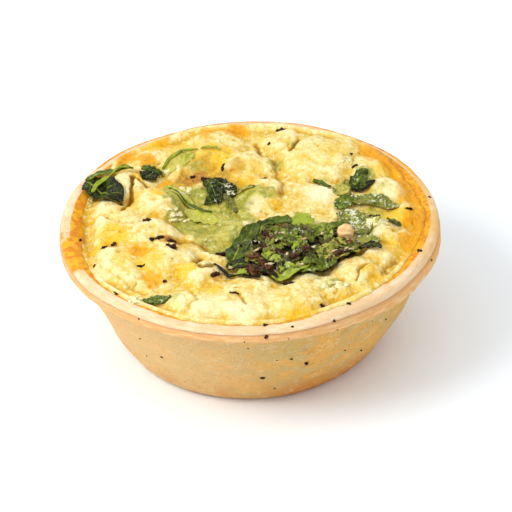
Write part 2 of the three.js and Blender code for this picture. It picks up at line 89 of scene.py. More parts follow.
# %% Floor, lamp and sky
FLOOR_WIDTH = 6000
LAMP_ELEVATION = math.radians(46)
LAMP_HEADING = math.radians(203)
LAMP_DISTANCE = 900
LAMP_WIDTH = 420
LAMP_WATTS = 4.6
SKY_STRENGTH = 0.97

bpy.context.scene.view_settings.view_transform = "Standard"
bpy.ops.mesh.primitive_plane_add(size=FLOOR_WIDTH * MM)
floor = bpy.context.object
floor.name = "floor"

lamp_data = bpy.data.lights.new("key_lamp", "AREA")
lamp_data.size = LAMP_WIDTH * MM
lamp_data.energy = LAMP_WATTS
lamp = bpy.data.objects.new("key_lamp", lamp_data)
bpy.context.scene.collection.objects.link(lamp)
towards_lamp = Vector((
    math.cos(LAMP_ELEVATION) * math.cos(LAMP_HEADING),
    math.cos(LAMP_ELEVATION) * math.sin(LAMP_HEADING),
    math.sin(LAMP_ELEVATION),
))
lamp.location = towards_lamp * LAMP_DISTANCE * MM
lamp.rotation_euler = (-towards_lamp).to_track_quat("-Z", "Y").to_euler()

sky = bpy.data.worlds.new("sky")
bpy.context.scene.world = sky
sky.use_nodes = True
sky.node_tree.nodes["Background"].inputs["Color"].default_value = (1, 1, 1, 1)
sky.node_tree.nodes["Background"].inputs["Strength"].default_value = SKY_STRENGTH
print("lamp at", [round(c, 3) for c in lamp.location])

# %% [markdown]
# ## A short way to write finishes
# A finish is a web of shader nodes. Two small classes let it be written as plain sums: `Wire`
# wraps one output, so that `1 - mask * 0.5` adds its own Math nodes, and `Finish` adds every other
# node through one method.

# %% Wires
class Wire:
    """One output of a node. Sums written with it add the Math nodes that work them out."""

    def __init__(self, finish, socket):
        self.finish = finish
        self.socket = socket

    def math(self, operation, *values):
        return self.finish.node("Math", {"operation": operation}, dict(enumerate(values)))

    def __add__(self, other):
        return self.math("ADD", self, other)

    def __radd__(self, other):
        return self.math("ADD", other, self)

    def __sub__(self, other):
        return self.math("SUBTRACT", self, other)

    def __rsub__(self, other):
        return self.math("SUBTRACT", other, self)

    def __mul__(self, other):
        return self.math("MULTIPLY", self, other)

    def __rmul__(self, other):
        return self.math("MULTIPLY", other, self)

    def __pow__(self, other):
        return self.math("POWER", self, other)

    def within(self, low, high):
        """0 below low, 1 above high, and a smooth step between them."""
        values = {"Value": self, "From Min": low, "From Max": high}
        return self.finish.node("MapRange", {"interpolation_type": "SMOOTHSTEP"}, values)


def colour(red, green, blue):
    """A colour from the usual 0 to 255 scale, made linear for the shader."""
    shares = [channel / 255 for channel in (red, green, blue)]
    return (*[s / 12.92 if s <= 0.04045 else ((s + 0.055) / 1.055) ** 2.4 for s in shares], 1)


print("white is", colour(255, 255, 255))

# %% Finishes
class Finish:
    """A material in the making, with its main shader's constants set by name."""

    def __init__(self, name, constants):
        self.material = bpy.data.materials.new(name)
        self.material.use_nodes = True
        self.tree = self.material.node_tree
        self.shader = self.tree.nodes["Principled BSDF"]
        for socket, value in constants.items():
            self.shader.inputs[socket].default_value = value
        inside = self.node("TexCoord", output="Object")
        self.place = self.node("VectorMath", {"operation": "SCALE"}, {0: inside, "Scale": 1 / MM})

    def node(self, kind, settings=None, values=None, output=0):
        made = self.tree.nodes.new("ShaderNode" + kind)
        for name, value in (settings or {}).items():
            setattr(made, name, value)
        for name, value in (values or {}).items():
            self.feed(made.inputs[name], value)
        return Wire(self, made.outputs[output])

    def feed(self, socket, value):
        if isinstance(value, Wire):
            self.tree.links.new(value.socket, socket)
        else:
            socket.default_value = value

    def noise(self, size, detail=2, roughness=0.5, place=None):
        """Soft blotches about size millimetres across, from 0 to 1."""
        values = {
            "Vector": place or self.place,
            "Scale": 1 / size,
            "Detail": detail,
            "Roughness": roughness,
        }
        return self.node("TexNoise", {}, values)

    def swirled(self, size, strength):
        """The place pushed about by strength millimetres, in swirls of the given size."""
        values = {"Vector": self.place, "Scale": 1 / size, "Detail": 3}
        swirl = self.node("TexNoise", {}, values, output=1)
        reach = (2 * strength, 2 * strength, 2 * strength)
        return self.node("VectorMath", {"operation": "MULTIPLY_ADD"}, {0: swirl, 1: reach, 2: self.place})

    def cells(self, size, place):
        """Cells about size millimetres across, 1 in the middle of each and near 0 between them."""
        return 1 - self.node("TexVoronoi", {}, {"Vector": place, "Scale": 1 / size})

    def attribute(self, name):
        return self.node("Attribute", {"attribute_name": name}, output="Fac")

    def mix(self, factor, first, second):
        """One colour over another. The factor 0 shows the first, 1 the second."""
        return self.node("Mix", {"data_type": "RGBA"}, {0: factor, 6: first, 7: second}, output=2)

    def bump(self, height, depth, under=None):
        """Relief depth millimetres deep, on top of the relief under it."""
        values = {"Height": height, "Distance": depth * MM, "Strength": 1}
        if under is not None:
            values["Normal"] = under
        return self.node("Bump", {}, values)

    def show(self, **values):
        """Feeds the main shader, with each socket's name written in small letters."""
        names = {"base_color": "Base Color", "roughness": "Roughness", "normal": "Normal"}
        for name, value in values.items():
            self.feed(self.shader.inputs[names[name]], value)
        return self.material


table_white = Finish("white_table", {"Roughness": 0.6})
cloudiness = table_white.noise(400)
table_white.show(base_color=table_white.mix(cloudiness, colour(242, 248, 254), colour(244, 250, 255)))
floor.data.materials.append(table_white.material)
print("finishes:", table_white.material.name)

# %% [markdown]
# ## Chance that repeats
# Baked food is uneven everywhere, but the picture must come out the same each time. `chance` gives
# a number that looks random and depends only on its two arguments, and `ripple` adds four crossed
# waves into a smooth, uneven pattern.

# %% Chance, ripples and small helpers
TURN = 2 * math.pi
GOLDEN_ANGLE = math.pi * (3 - math.sqrt(5))


def chance(index, channel):
    wild = np.sin(np.asarray(index) * 12.9898 + channel * 78.233) * 43758.5453
    return wild - np.floor(wild)


def ripple(x, y, wavelength, seed):
    total = 0
    for wave in range(4):
        heading = seed + wave * GOLDEN_ANGLE
        along = x * math.cos(heading) + y * math.sin(heading)
        total = total + np.sin(TURN * along / (wavelength * (1 - 0.13 * wave)) + seed * (wave + 1) * 1.7)
    return total / 4


def smoothstep(value, low, high):
    share = np.clip((value - low) / (high - low), 0, 1)
    return share * share * (3 - 2 * share)


def blend(low, high, share):
    return low + (high - low) * share


def read_points(piece):
    """A mesh's points in millimetres, one row each."""
    points = np.zeros(len(piece.data.vertices) * 3)
    piece.data.vertices.foreach_get("co", points)
    return points.reshape(-1, 3) / MM


def write_points(piece, points):
    piece.data.vertices.foreach_set("co", (points * MM).ravel())
    piece.data.update()


def write_mask(piece, name, values):
    """Keeps one number for each point of a mesh, for its finish to read."""
    mask = piece.data.attributes.new(name, "FLOAT", "POINT")
    mask.data.foreach_set("value", np.asarray(values, np.float32))


def start_fresh():
    """Leaves edit mode and lets go of whatever is selected."""
    if bpy.context.mode != "OBJECT":
        bpy.ops.object.mode_set(mode="OBJECT")
    bpy.ops.object.select_all(action="DESELECT")


def triangles(piece):
    return sum(len(face.vertices) - 2 for face in piece.data.polygons)


def join(pieces, name):
    """Makes one piece of several."""
    start_fresh()
    for piece in pieces:
        piece.select_set(True)
    bpy.context.view_layer.objects.active = pieces[0]
    bpy.ops.object.join()
    joined = bpy.context.object
    joined.name = name
    return joined


def dress(piece, node, slot, material):
    """Gives a piece its finish, hangs it on the root body and hides the solid it stands for."""
    piece.data.materials.append(material)
    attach(piece, "root")
    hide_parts(node)
    print(piece.name, triangles(piece), "triangles")


print("one ripple:", round(float(ripple(3.0, 4.0, 15, 2.1)), 3))

# %% [markdown]
# ## The pastry case
# The case is pressed by hand into a round tin and its edge is rolled over into a lip. Its section
# is the same all round, so it is drawn once and spun about the axis. The section goes from the
# middle of the underside out, up the wall, over the lip and down inside to the floor.

# %% The section of the case
RIM_RADIUS = 54
RIM_TOP = 37
GROOVE_HEIGHT = 35.3
LIP_UNDERSIDE = 32.6
LIP_DROOP = 2.6
LIP_TOP_WIDTH = 3.1
WALL_TOP_RADIUS = 50.2
WALL_BEND_RADIUS, WALL_BEND_HEIGHT = 41.8, 8.1
FOOT_RADIUS = 32.6
FOOT_ROUND = 4.2
FOOT_HEIGHT = 2.7
FLOOR_THICKNESS = 4.4
SHOULDER_RADIUS = 47
DENT_DEPTH = 0.5
WALL_BELLY = 1.2


class Section:
    """A line of points drawn with straight and curved strokes."""

    def __init__(self, x, z):
        self.points = [(x, z)]

    def line(self, x, z, steps):
        return self.curve((self.points[-1][0] + x) / 2, (self.points[-1][1] + z) / 2, x, z, steps)

    def curve(self, bend_x, bend_z, x, z, steps):
        from_x, from_z = self.points[-1]
        for n in range(1, steps + 1):
            u = n / steps
            start, bend, end = (1 - u) ** 2, 2 * u * (1 - u), u * u
            self.points.append((
                start * from_x + bend * bend_x + end * x,
                start * from_z + bend * bend_z + end * z,
            ))
        return self


outer = Section(0, 0)
outer.line(FOOT_RADIUS, 0, 10)
outer.curve(FOOT_RADIUS + 0.7 * FOOT_ROUND, 0.2, FOOT_RADIUS + FOOT_ROUND, FOOT_HEIGHT, 7)
outer.curve(WALL_BEND_RADIUS, WALL_BEND_HEIGHT, WALL_TOP_RADIUS, LIP_UNDERSIDE - 1, 34)
outer.curve(WALL_TOP_RADIUS + 0.6, LIP_UNDERSIDE, RIM_RADIUS - 1.2, LIP_UNDERSIDE + 0.1, 6)
outer.curve(RIM_RADIUS, LIP_UNDERSIDE + 0.3, RIM_RADIUS, LIP_UNDERSIDE + 1.2, 5)
outer.curve(RIM_RADIUS, GROOVE_HEIGHT - 0.1, RIM_RADIUS - 0.7, GROOVE_HEIGHT, 5)
outer.curve(RIM_RADIUS - 0.2, GROOVE_HEIGHT + 0.5, RIM_RADIUS - 0.8, RIM_TOP - 0.5, 5)
outer.curve(RIM_RADIUS - 1.4, RIM_TOP, RIM_RADIUS - LIP_TOP_WIDTH, RIM_TOP, 7)
inner = Section(RIM_RADIUS - LIP_TOP_WIDTH, RIM_TOP)
inner.curve(SHOULDER_RADIUS + 1.4, RIM_TOP - 0.2, SHOULDER_RADIUS, RIM_TOP - 2.4, 10)
inner.curve(SHOULDER_RADIUS - 1.2, RIM_TOP - 4.4, SHOULDER_RADIUS - 2.4, RIM_TOP - 7.4, 5)
inner.line(FOOT_RADIUS + 3.4, FLOOR_THICKNESS + 2.6, 8)
inner.curve(FOOT_RADIUS + 2, FLOOR_THICKNESS, FOOT_RADIUS - 1, FLOOR_THICKNESS, 4)
inner.line(0, FLOOR_THICKNESS, 4)
section_points = outer.points + inner.points[1:]
print("points in the section:", len(section_points))

# %% [markdown]
# A circle primitive gives the section its points. They are laid along the section, the edge that
# would close it through the axis is deleted, and the line is spun. The two ends lie on the axis,
# so merging doubles closes the poles.

# %% Spin the case
SPIN_STEPS = 440


def edge_between(piece, first, second):
    return next(e for e in piece.data.edges if set(e.vertices) == {first, second})


start_fresh()
bpy.ops.mesh.primitive_circle_add(vertices=len(section_points), radius=0.05)
case = bpy.context.object
case.name = "pastry_case_baked"
write_points(case, np.array([(x, 0, z) for x, z in section_points]))
bpy.ops.object.mode_set(mode="EDIT")
bpy.ops.mesh.select_mode(type="EDGE")
bpy.ops.mesh.select_all(action="DESELECT")
bpy.ops.object.mode_set(mode="OBJECT")
edge_between(case, 0, len(section_points) - 1).select = True
bpy.ops.object.mode_set(mode="EDIT")
bpy.ops.mesh.delete(type="EDGE")
bpy.ops.mesh.select_mode(type="VERT")
bpy.ops.mesh.select_all(action="SELECT")
bpy.ops.mesh.spin(steps=SPIN_STEPS, angle=TURN, center=(0, 0, 0), axis=(0, 0, 1))
bpy.ops.mesh.select_all(action="SELECT")
bpy.ops.mesh.remove_doubles(threshold=0.00001)
bpy.ops.mesh.normals_make_consistent(inside=False)
bpy.ops.object.mode_set(mode="OBJECT")
bpy.ops.object.shade_smooth()
print("case:", triangles(case), "triangles")

# %% [markdown]
# ## Hand-pressed unevenness
# No hand-pressed case is round. Its outline wanders a little, the rim rises and falls, the lip
# hangs lower at the right, and the wall has shallow dents where fingers pushed it. The same
# formulas shape the measured solid.

# %% Uneven the case
def roundness(angle):
    wide = 0.006 * np.sin(2 * angle + 0.5) + 0.003 * np.sin(5 * angle + 2)
    return 1 + wide + 0.0016 * np.sin(9 * angle + 1)


def rim_rise(radius, angle):
    wave = 0.35 * np.sin(2 * angle + 2.4) + 0.22 * np.sin(5 * angle) + 0.12 * np.sin(11 * angle + 1)
    return wave * (radius / RIM_RADIUS) ** 4


points = read_points(case)
radius = np.hypot(points[:, 0], points[:, 1])
angle = np.arctan2(points[:, 1], points[:, 0])
height = points[:, 2]
WALL_MIDDLE_RADIUS, WALL_MIDDLE_HEIGHT, WALL_SLOPE = 42.9, 20, 0.46
outside = radius > WALL_MIDDLE_RADIUS + WALL_SLOPE * (height - WALL_MIDDLE_HEIGHT)
into_lip = smoothstep(height, LIP_UNDERSIDE - 9, LIP_UNDERSIDE)
over_lip = 1 - smoothstep(height, LIP_UNDERSIDE + 1, RIM_TOP)
at_right = smoothstep(np.cos(angle + 0.15), 0.25, 1)
droop = outside * LIP_DROOP * into_lip * over_lip * at_right
on_wall = outside * smoothstep(height, 1, 8) * (1 - smoothstep(height, LIP_UNDERSIDE - 6, RIM_TOP))
around = angle * WALL_TOP_RADIUS
dent = DENT_DEPTH * on_wall * ripple(around, height, 26, 3)
wall_share = np.clip(height / LIP_UNDERSIDE, 0, 1)
belly = outside * WALL_BELLY * np.cos(angle) * np.sin(math.pi * wall_share)
grain = 0.14 * ripple(around, height, 5.5, 1.4) + 0.06 * ripple(around, height, 2.3, 4.2)
on_lip = outside * smoothstep(height, LIP_UNDERSIDE - 1.2, LIP_UNDERSIDE + 1)
under_edge = on_lip * (1 - smoothstep(height, LIP_UNDERSIDE + 0.6, LIP_UNDERSIDE + 2))
lip_wobble = 0.13 * on_lip * ripple(around, height, 9, 5.1)
reach = radius * roundness(angle) + dent + belly + grain * on_wall + lip_wobble
rise = rim_rise(radius, angle) * smoothstep(height, 0, 12)
crumbling = 0.28 * under_edge * ripple(around, height, 3.1, 2.6)
shaped = np.stack([reach * np.cos(angle), reach * np.sin(angle), height + rise - droop + crumbling], axis=1)
write_points(case, shaped)
print("case spans", np.round(shaped.min(0), 1), "to", np.round(shaped.max(0), 1))

# %% [markdown]
# ## Where the case is browned
# Juices of the filling ran onto the inner slope of the lip and browned there: a broad orange band at
# the left, a thin one in front and a darker one at the right. At one place at the left the band
# reaches the outer edge. Each band is a soft window in angle and radius, and the finish breaks its
# border up.

# %% Masks of the case
def window(value, low, high, soft):
    """1 between low and high, fading to 0 over soft on either side."""
    return smoothstep(value, low - soft, low) * (1 - smoothstep(value, high, high + soft))


degrees = np.degrees(angle) % 360
flat_radius = np.where(height > LIP_UNDERSIDE, radius, 0)
left_band = 1.1 * window(degrees, 146, 241, 12) * window(flat_radius, 44, 50.4, 0.5)
spread_band = 0.8 * window(degrees, 190, 198, 16) * window(flat_radius, 44, 53.4, 0.6)
spread_band = spread_band * (height > GROOVE_HEIGHT)
front_band = 0.62 * window(degrees, 240, 288, 8) * window(flat_radius, 44, 51, 0.4)
right_turn = (degrees + 180) % 360
right_band = 1.1 * window(right_turn, 145, 221, 12) * window(flat_radius, 44, 50.9, 0.6)
back_edge = 0.75 * window(degrees, 30, 140, 15) * window(flat_radius, 52.2, 54, 0.6) * (height > GROOVE_HEIGHT)
inner_slope = 0.45 * window(flat_radius, 44, 50, 0.5)
bands = np.max([left_band, spread_band, front_band, right_band, back_edge, inner_slope], axis=0)
write_mask(case, "browned", bands * (height > RIM_TOP - 6) * (1 + 0.25 * ripple(around, radius, 13, 2.2)))
lip_top = (height > RIM_TOP - 1.6) & (radius > SHOULDER_RADIUS)
write_mask(case, "lip", np.maximum(on_lip, lip_top))
lower_band = on_lip * (1 - smoothstep(height, GROOVE_HEIGHT - 0.4, GROOVE_HEIGHT + 0.2))
write_mask(case, "band", lower_band)
# Painted shade: the groove and the crease under the lip are darkened in the finish.
groove = np.exp(-(((height - GROOVE_HEIGHT) / 0.28) ** 2))
groove = groove + 0.8 * np.exp(-(((height - LIP_UNDERSIDE) / 0.35) ** 2))
write_mask(case, "groove", outside * groove)
write_mask(case, "low", outside * (1 - smoothstep(height, 1, 14)))
write_mask(case, "right_lip", smoothstep(np.cos(angle - math.radians(8)), 0.75, 0.97))
# 'right' marks the front right foot, whose deeper orange is partly browning and partly painted shade away from
# the lamp.
write_mask(case, "right", smoothstep(np.cos(angle + math.radians(38)), 0.55, 0.95))
# Painted light: 'left' marks the side of the wall towards the lamp, painted paler in the finish.
write_mask(case, "left", smoothstep(np.cos(angle - math.radians(205)), 0.1, 0.95))
print("browned points:", int((bands > 0.5).sum()))

# %% [markdown]
# ## Shortcrust
# Shortcrust is matt and floury. The lip stays pale and creamy because it is thick, with a tan band
# below its groove. The wall is golden tan, clouded with grey and olive where fat and spinach
# came through, and orange near the foot where it touched the hot tin. At the front right the foot
# is a deeper orange: partly browning, partly painted shade on the side away from the lamp. The side
# towards the lamp has painted light, a paler tan, and the groove and the crease under the lip have
# painted shade, a darker brown. Flour shows as small white bits. Streaks that run round the lip
# come from rolling it between the fingers.

# %% Pastry finish
pastry = Finish("baked_shortcrust", {"Specular IOR Level": 0.15, "Subsurface Weight": 0.12})
pastry.shader.inputs["Subsurface Scale"].default_value = 2 * MM
pastry.shader.inputs["Subsurface Radius"].default_value = (1.0, 0.7, 0.35)
stretched = pastry.node("VectorMath", {"operation": "MULTIPLY"}, {0: pastry.place, 1: (1, 1, 7)})
streaks = pastry.noise(5, 4, 0.65, stretched)
flattened = pastry.node("VectorMath", {"operation": "MULTIPLY"}, {0: pastry.place, 1: (1, 1, 1.7)})
clouds = pastry.noise(15, 5, 0.62, flattened)
blotch = pastry.noise(7.5, 5, 0.64, flattened)
speckle = pastry.noise(0.8, 4, 0.68)
floury = pastry.noise(3.2, 4, 0.7)
crust = pastry.mix(clouds.within(0.38, 0.6), colour(222, 166, 84), colour(200, 166, 98))
crust = pastry.mix(blotch.within(0.5, 0.62) * 0.75, crust, colour(200, 170, 112))
crust = pastry.mix(blotch.within(0.48, 0.36) * 0.7, crust, colour(222, 166, 84))
scuffed = pastry.noise(6, 5, 0.7, flattened)
crust = pastry.mix(scuffed.within(0.56, 0.66) * 0.45, crust, colour(186, 134, 66))
crust = pastry.mix(scuffed.within(0.42, 0.3) * 0.5, crust, colour(236, 202, 148))
# Painted light: a paler tan on the side of the wall towards the lamp.
crust = pastry.mix(pastry.attribute("left") * 0.7, crust, colour(226, 188, 132))
low_orange = pastry.attribute("low") * pastry.noise(7, 3, 0.6).within(0.4, 0.6)
crust = pastry.mix(low_orange * 0.6, crust, colour(212, 140, 62))
# Orange at the foot, front right: partly browning from the tin, partly painted shade away from the lamp.
right_orange = pastry.attribute("right") * pastry.attribute("low") * clouds.within(0.3, 0.5)
crust = pastry.mix(right_orange * 0.8, crust, colour(204, 124, 44))
crust = pastry.mix(floury.within(0.52, 0.66) * speckle.within(0.42, 0.6) * 0.4, crust, colour(230, 204, 156))
crust = pastry.mix(speckle.within(0.62, 0.72) * 0.35, crust, colour(236, 210, 162))
crust = pastry.mix(speckle.within(0.42, 0.32) * 0.5, crust, colour(158, 112, 54))
lip_colour = pastry.mix(streaks.within(0.38, 0.66), colour(234, 196, 148), colour(243, 216, 178))
right_lip = pastry.attribute("right_lip") * blotch.within(0.3, 0.6) * 0.8
lip_colour = pastry.mix(right_lip, lip_colour, colour(228, 182, 106))
crust = pastry.mix(pastry.attribute("lip"), crust, lip_colour)
band_colour = pastry.mix(streaks.within(0.4, 0.62), colour(222, 162, 92), colour(234, 186, 126))
crust = pastry.mix(pastry.attribute("band") * 0.85, crust, band_colour)
# Painted shade in the groove and in the crease under the lip.
crust = pastry.mix(pastry.attribute("groove") * streaks.within(0.2, 0.6) * 0.6, crust, colour(196, 128, 62))
border = pastry.attribute("browned") + (pastry.noise(3.2, 5, 0.7) - 0.5) * 1.3
browned = border.within(0.42, 0.62)
toasted = pastry.mix(pastry.noise(1.8, 4, 0.65).within(0.4, 0.6), colour(238, 176, 36), colour(218, 132, 22))
crust = pastry.mix(browned, crust, toasted)
relief = pastry.bump(pastry.noise(2.4, 4, 0.6), 0.4)
relief = pastry.bump(streaks, 0.16, relief)
relief = pastry.bump(speckle, 0.26, relief)
relief = pastry.bump(pastry.noise(0.4, 3, 0.65), 0.08, relief)
pastry.show(base_color=crust, roughness=0.74 - 0.3 * browned, normal=relief)
dress(case, "pastry_case", "pastry", pastry.material)

# %% [markdown]
# ## The layout of the top
# Everything on the top is listed as if the photo were level and looked down at LAYOUT_ELEVATION.
# The real camera leans and looks down a little steeper, so the listed layout lies slightly slanted
# on the quiche. One formula, worked out from the camera's own angles, moves each listed place to
# where it really lies.

# %% Slanted layout
LAYOUT_ELEVATION = math.radians(33.5)
LAYOUT_SHIFT_X = 0.33
LAYOUT_SHIFT_Y = -1.15


def settled(x, y):
    """Where a listed place lies on the quiche."""
    lean = math.tan(-CAMERA_ROLL)
    seen_depth = math.sin(LAYOUT_ELEVATION) * y
    real_y = (seen_depth - lean * x) / math.sin(CAMERA_ELEVATION)
    return x + lean * seen_depth + LAYOUT_SHIFT_X, real_y + LAYOUT_SHIFT_Y


def settled_rows(rows):
    """Listed rows whose first two numbers, the place, are settled."""
    return [(*settled(*row[:2]), *row[2:]) for row in rows]


def laid(blade):
    """A listed leaf with its three points settled."""
    return dict(blade, **{point: settled(*blade[point]) for point in ("start", "bend", "tip")})


print("a place listed 40 mm back lies", round(settled(0, 40)[1], 1), "mm back")

# %% [markdown]
# ## The lumps of the egg
# Cheese and vegetables push the egg up into rounded lumps as it bakes, with creases where two of
# them meet. Taking the highest of many domes at each point gives just that: round tops and sharp
# valleys. Large lumps are named one by one, small knobs and curds are spread by a sunflower rule.

# %% Lumps, knobs and curds
FILL_LEVEL = 36.1
FILL_EDGE_RADIUS = 47.5
EDGE_REACH = {"back": 3.9, "front": 2.9, "right": 1.7}
EDGE_SLOPE_WIDTH = 5
LUMP_WANDER = 1.5
LUMP_RISE = 1.0
LUMP_SPREAD = 0.95
LUMPS = settled_rows([
    [-37.5, 1.4, 11, 2.6],
    [-42.6, 9, 6, 2.2],
    [-35, 19.6, 7.5, 3.6],
    [-26.6, 10.2, 8, 4.4],
    [-29, -4.5, 9, 3.2],
    [-37.5, -20.5, 11, 2.6],
    [-24, -17.4, 9, 3.3],
    [-13, -25.6, 7.8, 4.2],
    [-14.2, -41, 10, 2.7],
    [-3.5, -39.5, 13, 3.3],
    [1, -32.6, 8.5, 3.5],
    [11.8, -39.6, 11, 3.1],
    [15, -32.8, 7.5, 3],
    [23, -32, 6.5, 2.4],
    [30.6, -25, 8.4, 3.9],
    [35, -31, 7, 2.3],
    [36.5, -15.6, 6.5, 2.7],
    [44.5, -8, 8, 2.2],
    [37.2, -3.6, 5.2, 3.3],
    [46, 7, 6, 1.9],
    [40.3, 17, 7.4, 3.1],
    [34, 29, 8, 2.6],
    [20, 34, 13.5, 3.5],
    [27, 41, 8, 2.2],
    [10.5, 43.5, 8, 2.4],
    [-1.4, 31, 8.6, 3.2],
    [4, 17, 8, 3],
    [16.5, 16, 9.5, 1.7],
    [-10.8, 42, 10, 2.6],
    [-20, 35, 8, 2.2],
    [-30, 34.5, 9, 2.1],
    [-3.6, -0.6, 6.4, 2],
])


def sunflower(count, reach, seed):
    """Evenly spread places in a disc, each a little off its spot."""
    k = np.arange(count)
    radius = reach * np.sqrt((k + 0.5) / count)
    angle = k * GOLDEN_ANGLE + 0.8 * chance(k, seed)
    return np.stack([radius * np.cos(angle), radius * np.sin(angle)], axis=1)


def domes(count, reach, seed, smallest, spread, lowest, rise):
    """Rows of x, y, radius and height for many small domes."""
    k = np.arange(count)
    sizes = np.stack([smallest + spread * chance(k, seed + 1), lowest + rise * chance(k, seed + 2)], axis=1)
    return np.hstack([sunflower(count, reach, seed), sizes])


HOLLOWS = settled_rows([
    [-13, 6, 12.5, 1.5],
    [-7, -8.5, 8, 1.2],
    [16, 14, 9, 0.8],
])
KNOBS = domes(90, 48, 1, 2.2, 2.4, 0.5, 0.8)
CURDS = domes(760, 50, 31, 0.8, 1.6, 0.1, 0.36)
CRUMBLE = domes(3000, 50, 51, 0.45, 0.55, 0.1, 0.3)
PORES = domes(320, 47, 41, 0.25, 0.45, 0.2, 0.45)
print("domes:", len(LUMPS), len(KNOBS), len(CURDS), len(CRUMBLE), "pores:", len(PORES))

# %% [markdown]
# ## Maps
# So many domes are slow to ask for at each point. They are stamped once onto a map, a square of
# numbers a quarter of a millimetre apart, and everything else reads its height from the map. A
# blurred copy of a map, taken away from the map itself, tells hollows from humps.

# %% Maps
MAP_STEP = 0.25
MAP_REACH = 57
map_line = np.arange(-MAP_REACH, MAP_REACH + MAP_STEP / 2, MAP_STEP)
map_x, map_y = np.meshgrid(map_line, map_line)
warp_x = map_x + LUMP_WANDER * ripple(map_x, map_y, 15, 2.1)
warp_y = map_y + LUMP_WANDER * ripple(map_x, map_y, 15, 5.3)
warp_x += 0.8 * ripple(map_x, map_y, 5.5, 3.1) + 0.2 * ripple(map_x, map_y, 2.4, 1.1)
warp_y += 0.8 * ripple(map_x, map_y, 5.5, 4.7) + 0.2 * ripple(map_x, map_y, 2.4, 2.9)


def stamp(lumps, spread=LUMP_SPREAD, power=3):
    """The highest of several rounded lumps all over the map, with creases where two meet."""
    found = np.zeros_like(map_x)
    for cx, cy, reach, top in lumps:
        wide = reach * spread
        margin = wide + 2 * LUMP_WANDER
        low_x, high_x, low_y, high_y = (
            int(np.clip((edge + MAP_REACH) / MAP_STEP, 0, len(map_line)))
            for edge in (cx - margin, cx + margin, cy - margin, cy + margin)
        )
        near = (slice(low_y, high_y), slice(low_x, high_x))
        distance = np.hypot(warp_x[near] - cx, warp_y[near] - cy) / wide
        found[near] = np.maximum(found[near], top * (1 - distance**power))
    return found


def sample(chart, x, y):
    """A map's value at any place, blended from the four numbers round it."""
    last = len(map_line) - 1.001
    across = np.clip((x + MAP_REACH) / MAP_STEP, 0, last)
    upward = np.clip((y + MAP_REACH) / MAP_STEP, 0, last)
    column, row = across.astype(int), upward.astype(int)
    low = blend(chart[row, column], chart[row, column + 1], across - column)
    high = blend(chart[row + 1, column], chart[row + 1, column + 1], across - column)
    return blend(low, high, upward - row)


def soften(chart, reach):
    """A map blurred over reach millimetres, by weakening its short waves."""
    waves = np.fft.fftfreq(len(map_line), MAP_STEP) * TURN
    keep = np.exp(-0.5 * (reach * waves) ** 2)
    return np.fft.ifft2(np.fft.fft2(chart) * np.outer(keep, keep)).real


print("map of", map_x.shape, "numbers")

# %% [markdown]
# ## Creases and soft places
# Some creases run deep enough to look dark, as where the egg tore away from a leaf, so they are
# drawn as short chains of points with a depth and a width. Their dark colour is painted shade,
# mixed into the egg's finish. The pale pool behind the bunch, the front and a few other places are
# smooth, where only egg and no cheese came to the top. Where the egg browned at the left it broke
# into coarse crumbs.

# %% Creases, pools and crumbly places
CREASES = [
    ([(-33.4, 22), (-33.6, 16), (-34.4, 11), (-36.5, 6)], 1.9, 0.6),
    ([(-31.8, 21), (-29, 18.6), (-25.5, 17)], 1.3, 0.6),
    ([(13.9, 41.8), (11.5, 37)], 1.5, 0.7),
    ([(6.8, 33.6), (7.6, 27), (9.4, 21), (8.6, 14)], 0.8, 1.0),
    ([(1.7, 43.2), (2.4, 39), (2.9, 35.5)], 1.2, 0.6),
    ([(-14, -16), (-16, -21), (-13.5, -25.5), (-8, -23.4)], 1.4, 0.9),
    ([(-11, -22.5), (-5, -26.6), (3.4, -31.6)], 1.3, 0.7),
    ([(17.3, 22.6), (22.7, 19)], 1.0, 0.5),
    ([(29.8, -30.3), (31.5, -25), (36, -22.5)], 1.1, 0.6),
    ([(41, -18), (38, -22), (37, -27)], 0.8, 0.7),
    ([(-3.6, -37.3), (-1.6, -41), (-1, -43)], 0.9, 0.5),
    ([(44, 6.8), (47, 6)], 0.9, 0.4),
    ([(-44, -6), (-40, -4), (-36, -5)], 0.6, 0.6),
    ([(-18, -45), (-15, -40), (-17, -34)], 0.7, 0.8),
    ([(-21, -8), (-17, -6.6), (-13, -9), (-11, -13)], 1.0, 0.8),
    ([(-43, 4), (-38, 0), (-33, -1)], 0.5, 0.7),
    ([(20, -38), (24, -35), (26, -30)], 0.6, 0.6),
    ([(-40, -24), (-35, -30), (-29, -34)], 0.6, 0.8),
]
SMOOTH_POOLS = settled_rows([
    (17, 15.5, 8.5, 1.0), (-10, -43, 8, 0.7), (7, -41, 8, 0.6), (40, 18, 5, 0.9), (-22, 42, 6, 0.6),
    (24, 31, 7, 0.5), (-43, -3, 5, 0.5), (-43, -26, 5, 0.6), (34, -22, 6, 0.5),
])
CRUMBLY_PLACES = settled_rows([
    (-28, -28, 6, 1.0), (-33, -16, 5, 0.7), (-25, -12, 5, 0.6), (-18, 25, 5, 1.0), (-20, 9, 5, 0.6),
    (32, -30, 5, 0.8), (44, -14, 5, 0.7), (40, 26, 5, 0.7), (-30, -42, 4, 0.8), (22, -33, 4, 0.8),
    (0, 45, 6, 0.4), (44, 2, 5, 0.6),
])


def distance_to_chain(chain, x, y):
    nearest = np.full_like(x, 1e9)
    for (ax, ay), (bx, by) in zip(chain, chain[1:]):
        dx, dy = bx - ax, by - ay
        share = np.clip(((x - ax) * dx + (y - ay) * dy) / (dx * dx + dy * dy), 0, 1)
        nearest = np.minimum(nearest, np.hypot(x - ax - share * dx, y - ay - share * dy))
    return nearest


def patches_at(patches, x, y):
    """The strongest of several soft round patches at each point, from 0 to 1."""
    found = np.zeros_like(x)
    for cx, cy, reach, strength in patches:
        distance = np.hypot(x - cx, y - cy) / reach
        found = np.maximum(found, strength * (1 - smoothstep(distance, 0.35, 1.25)))
    return found


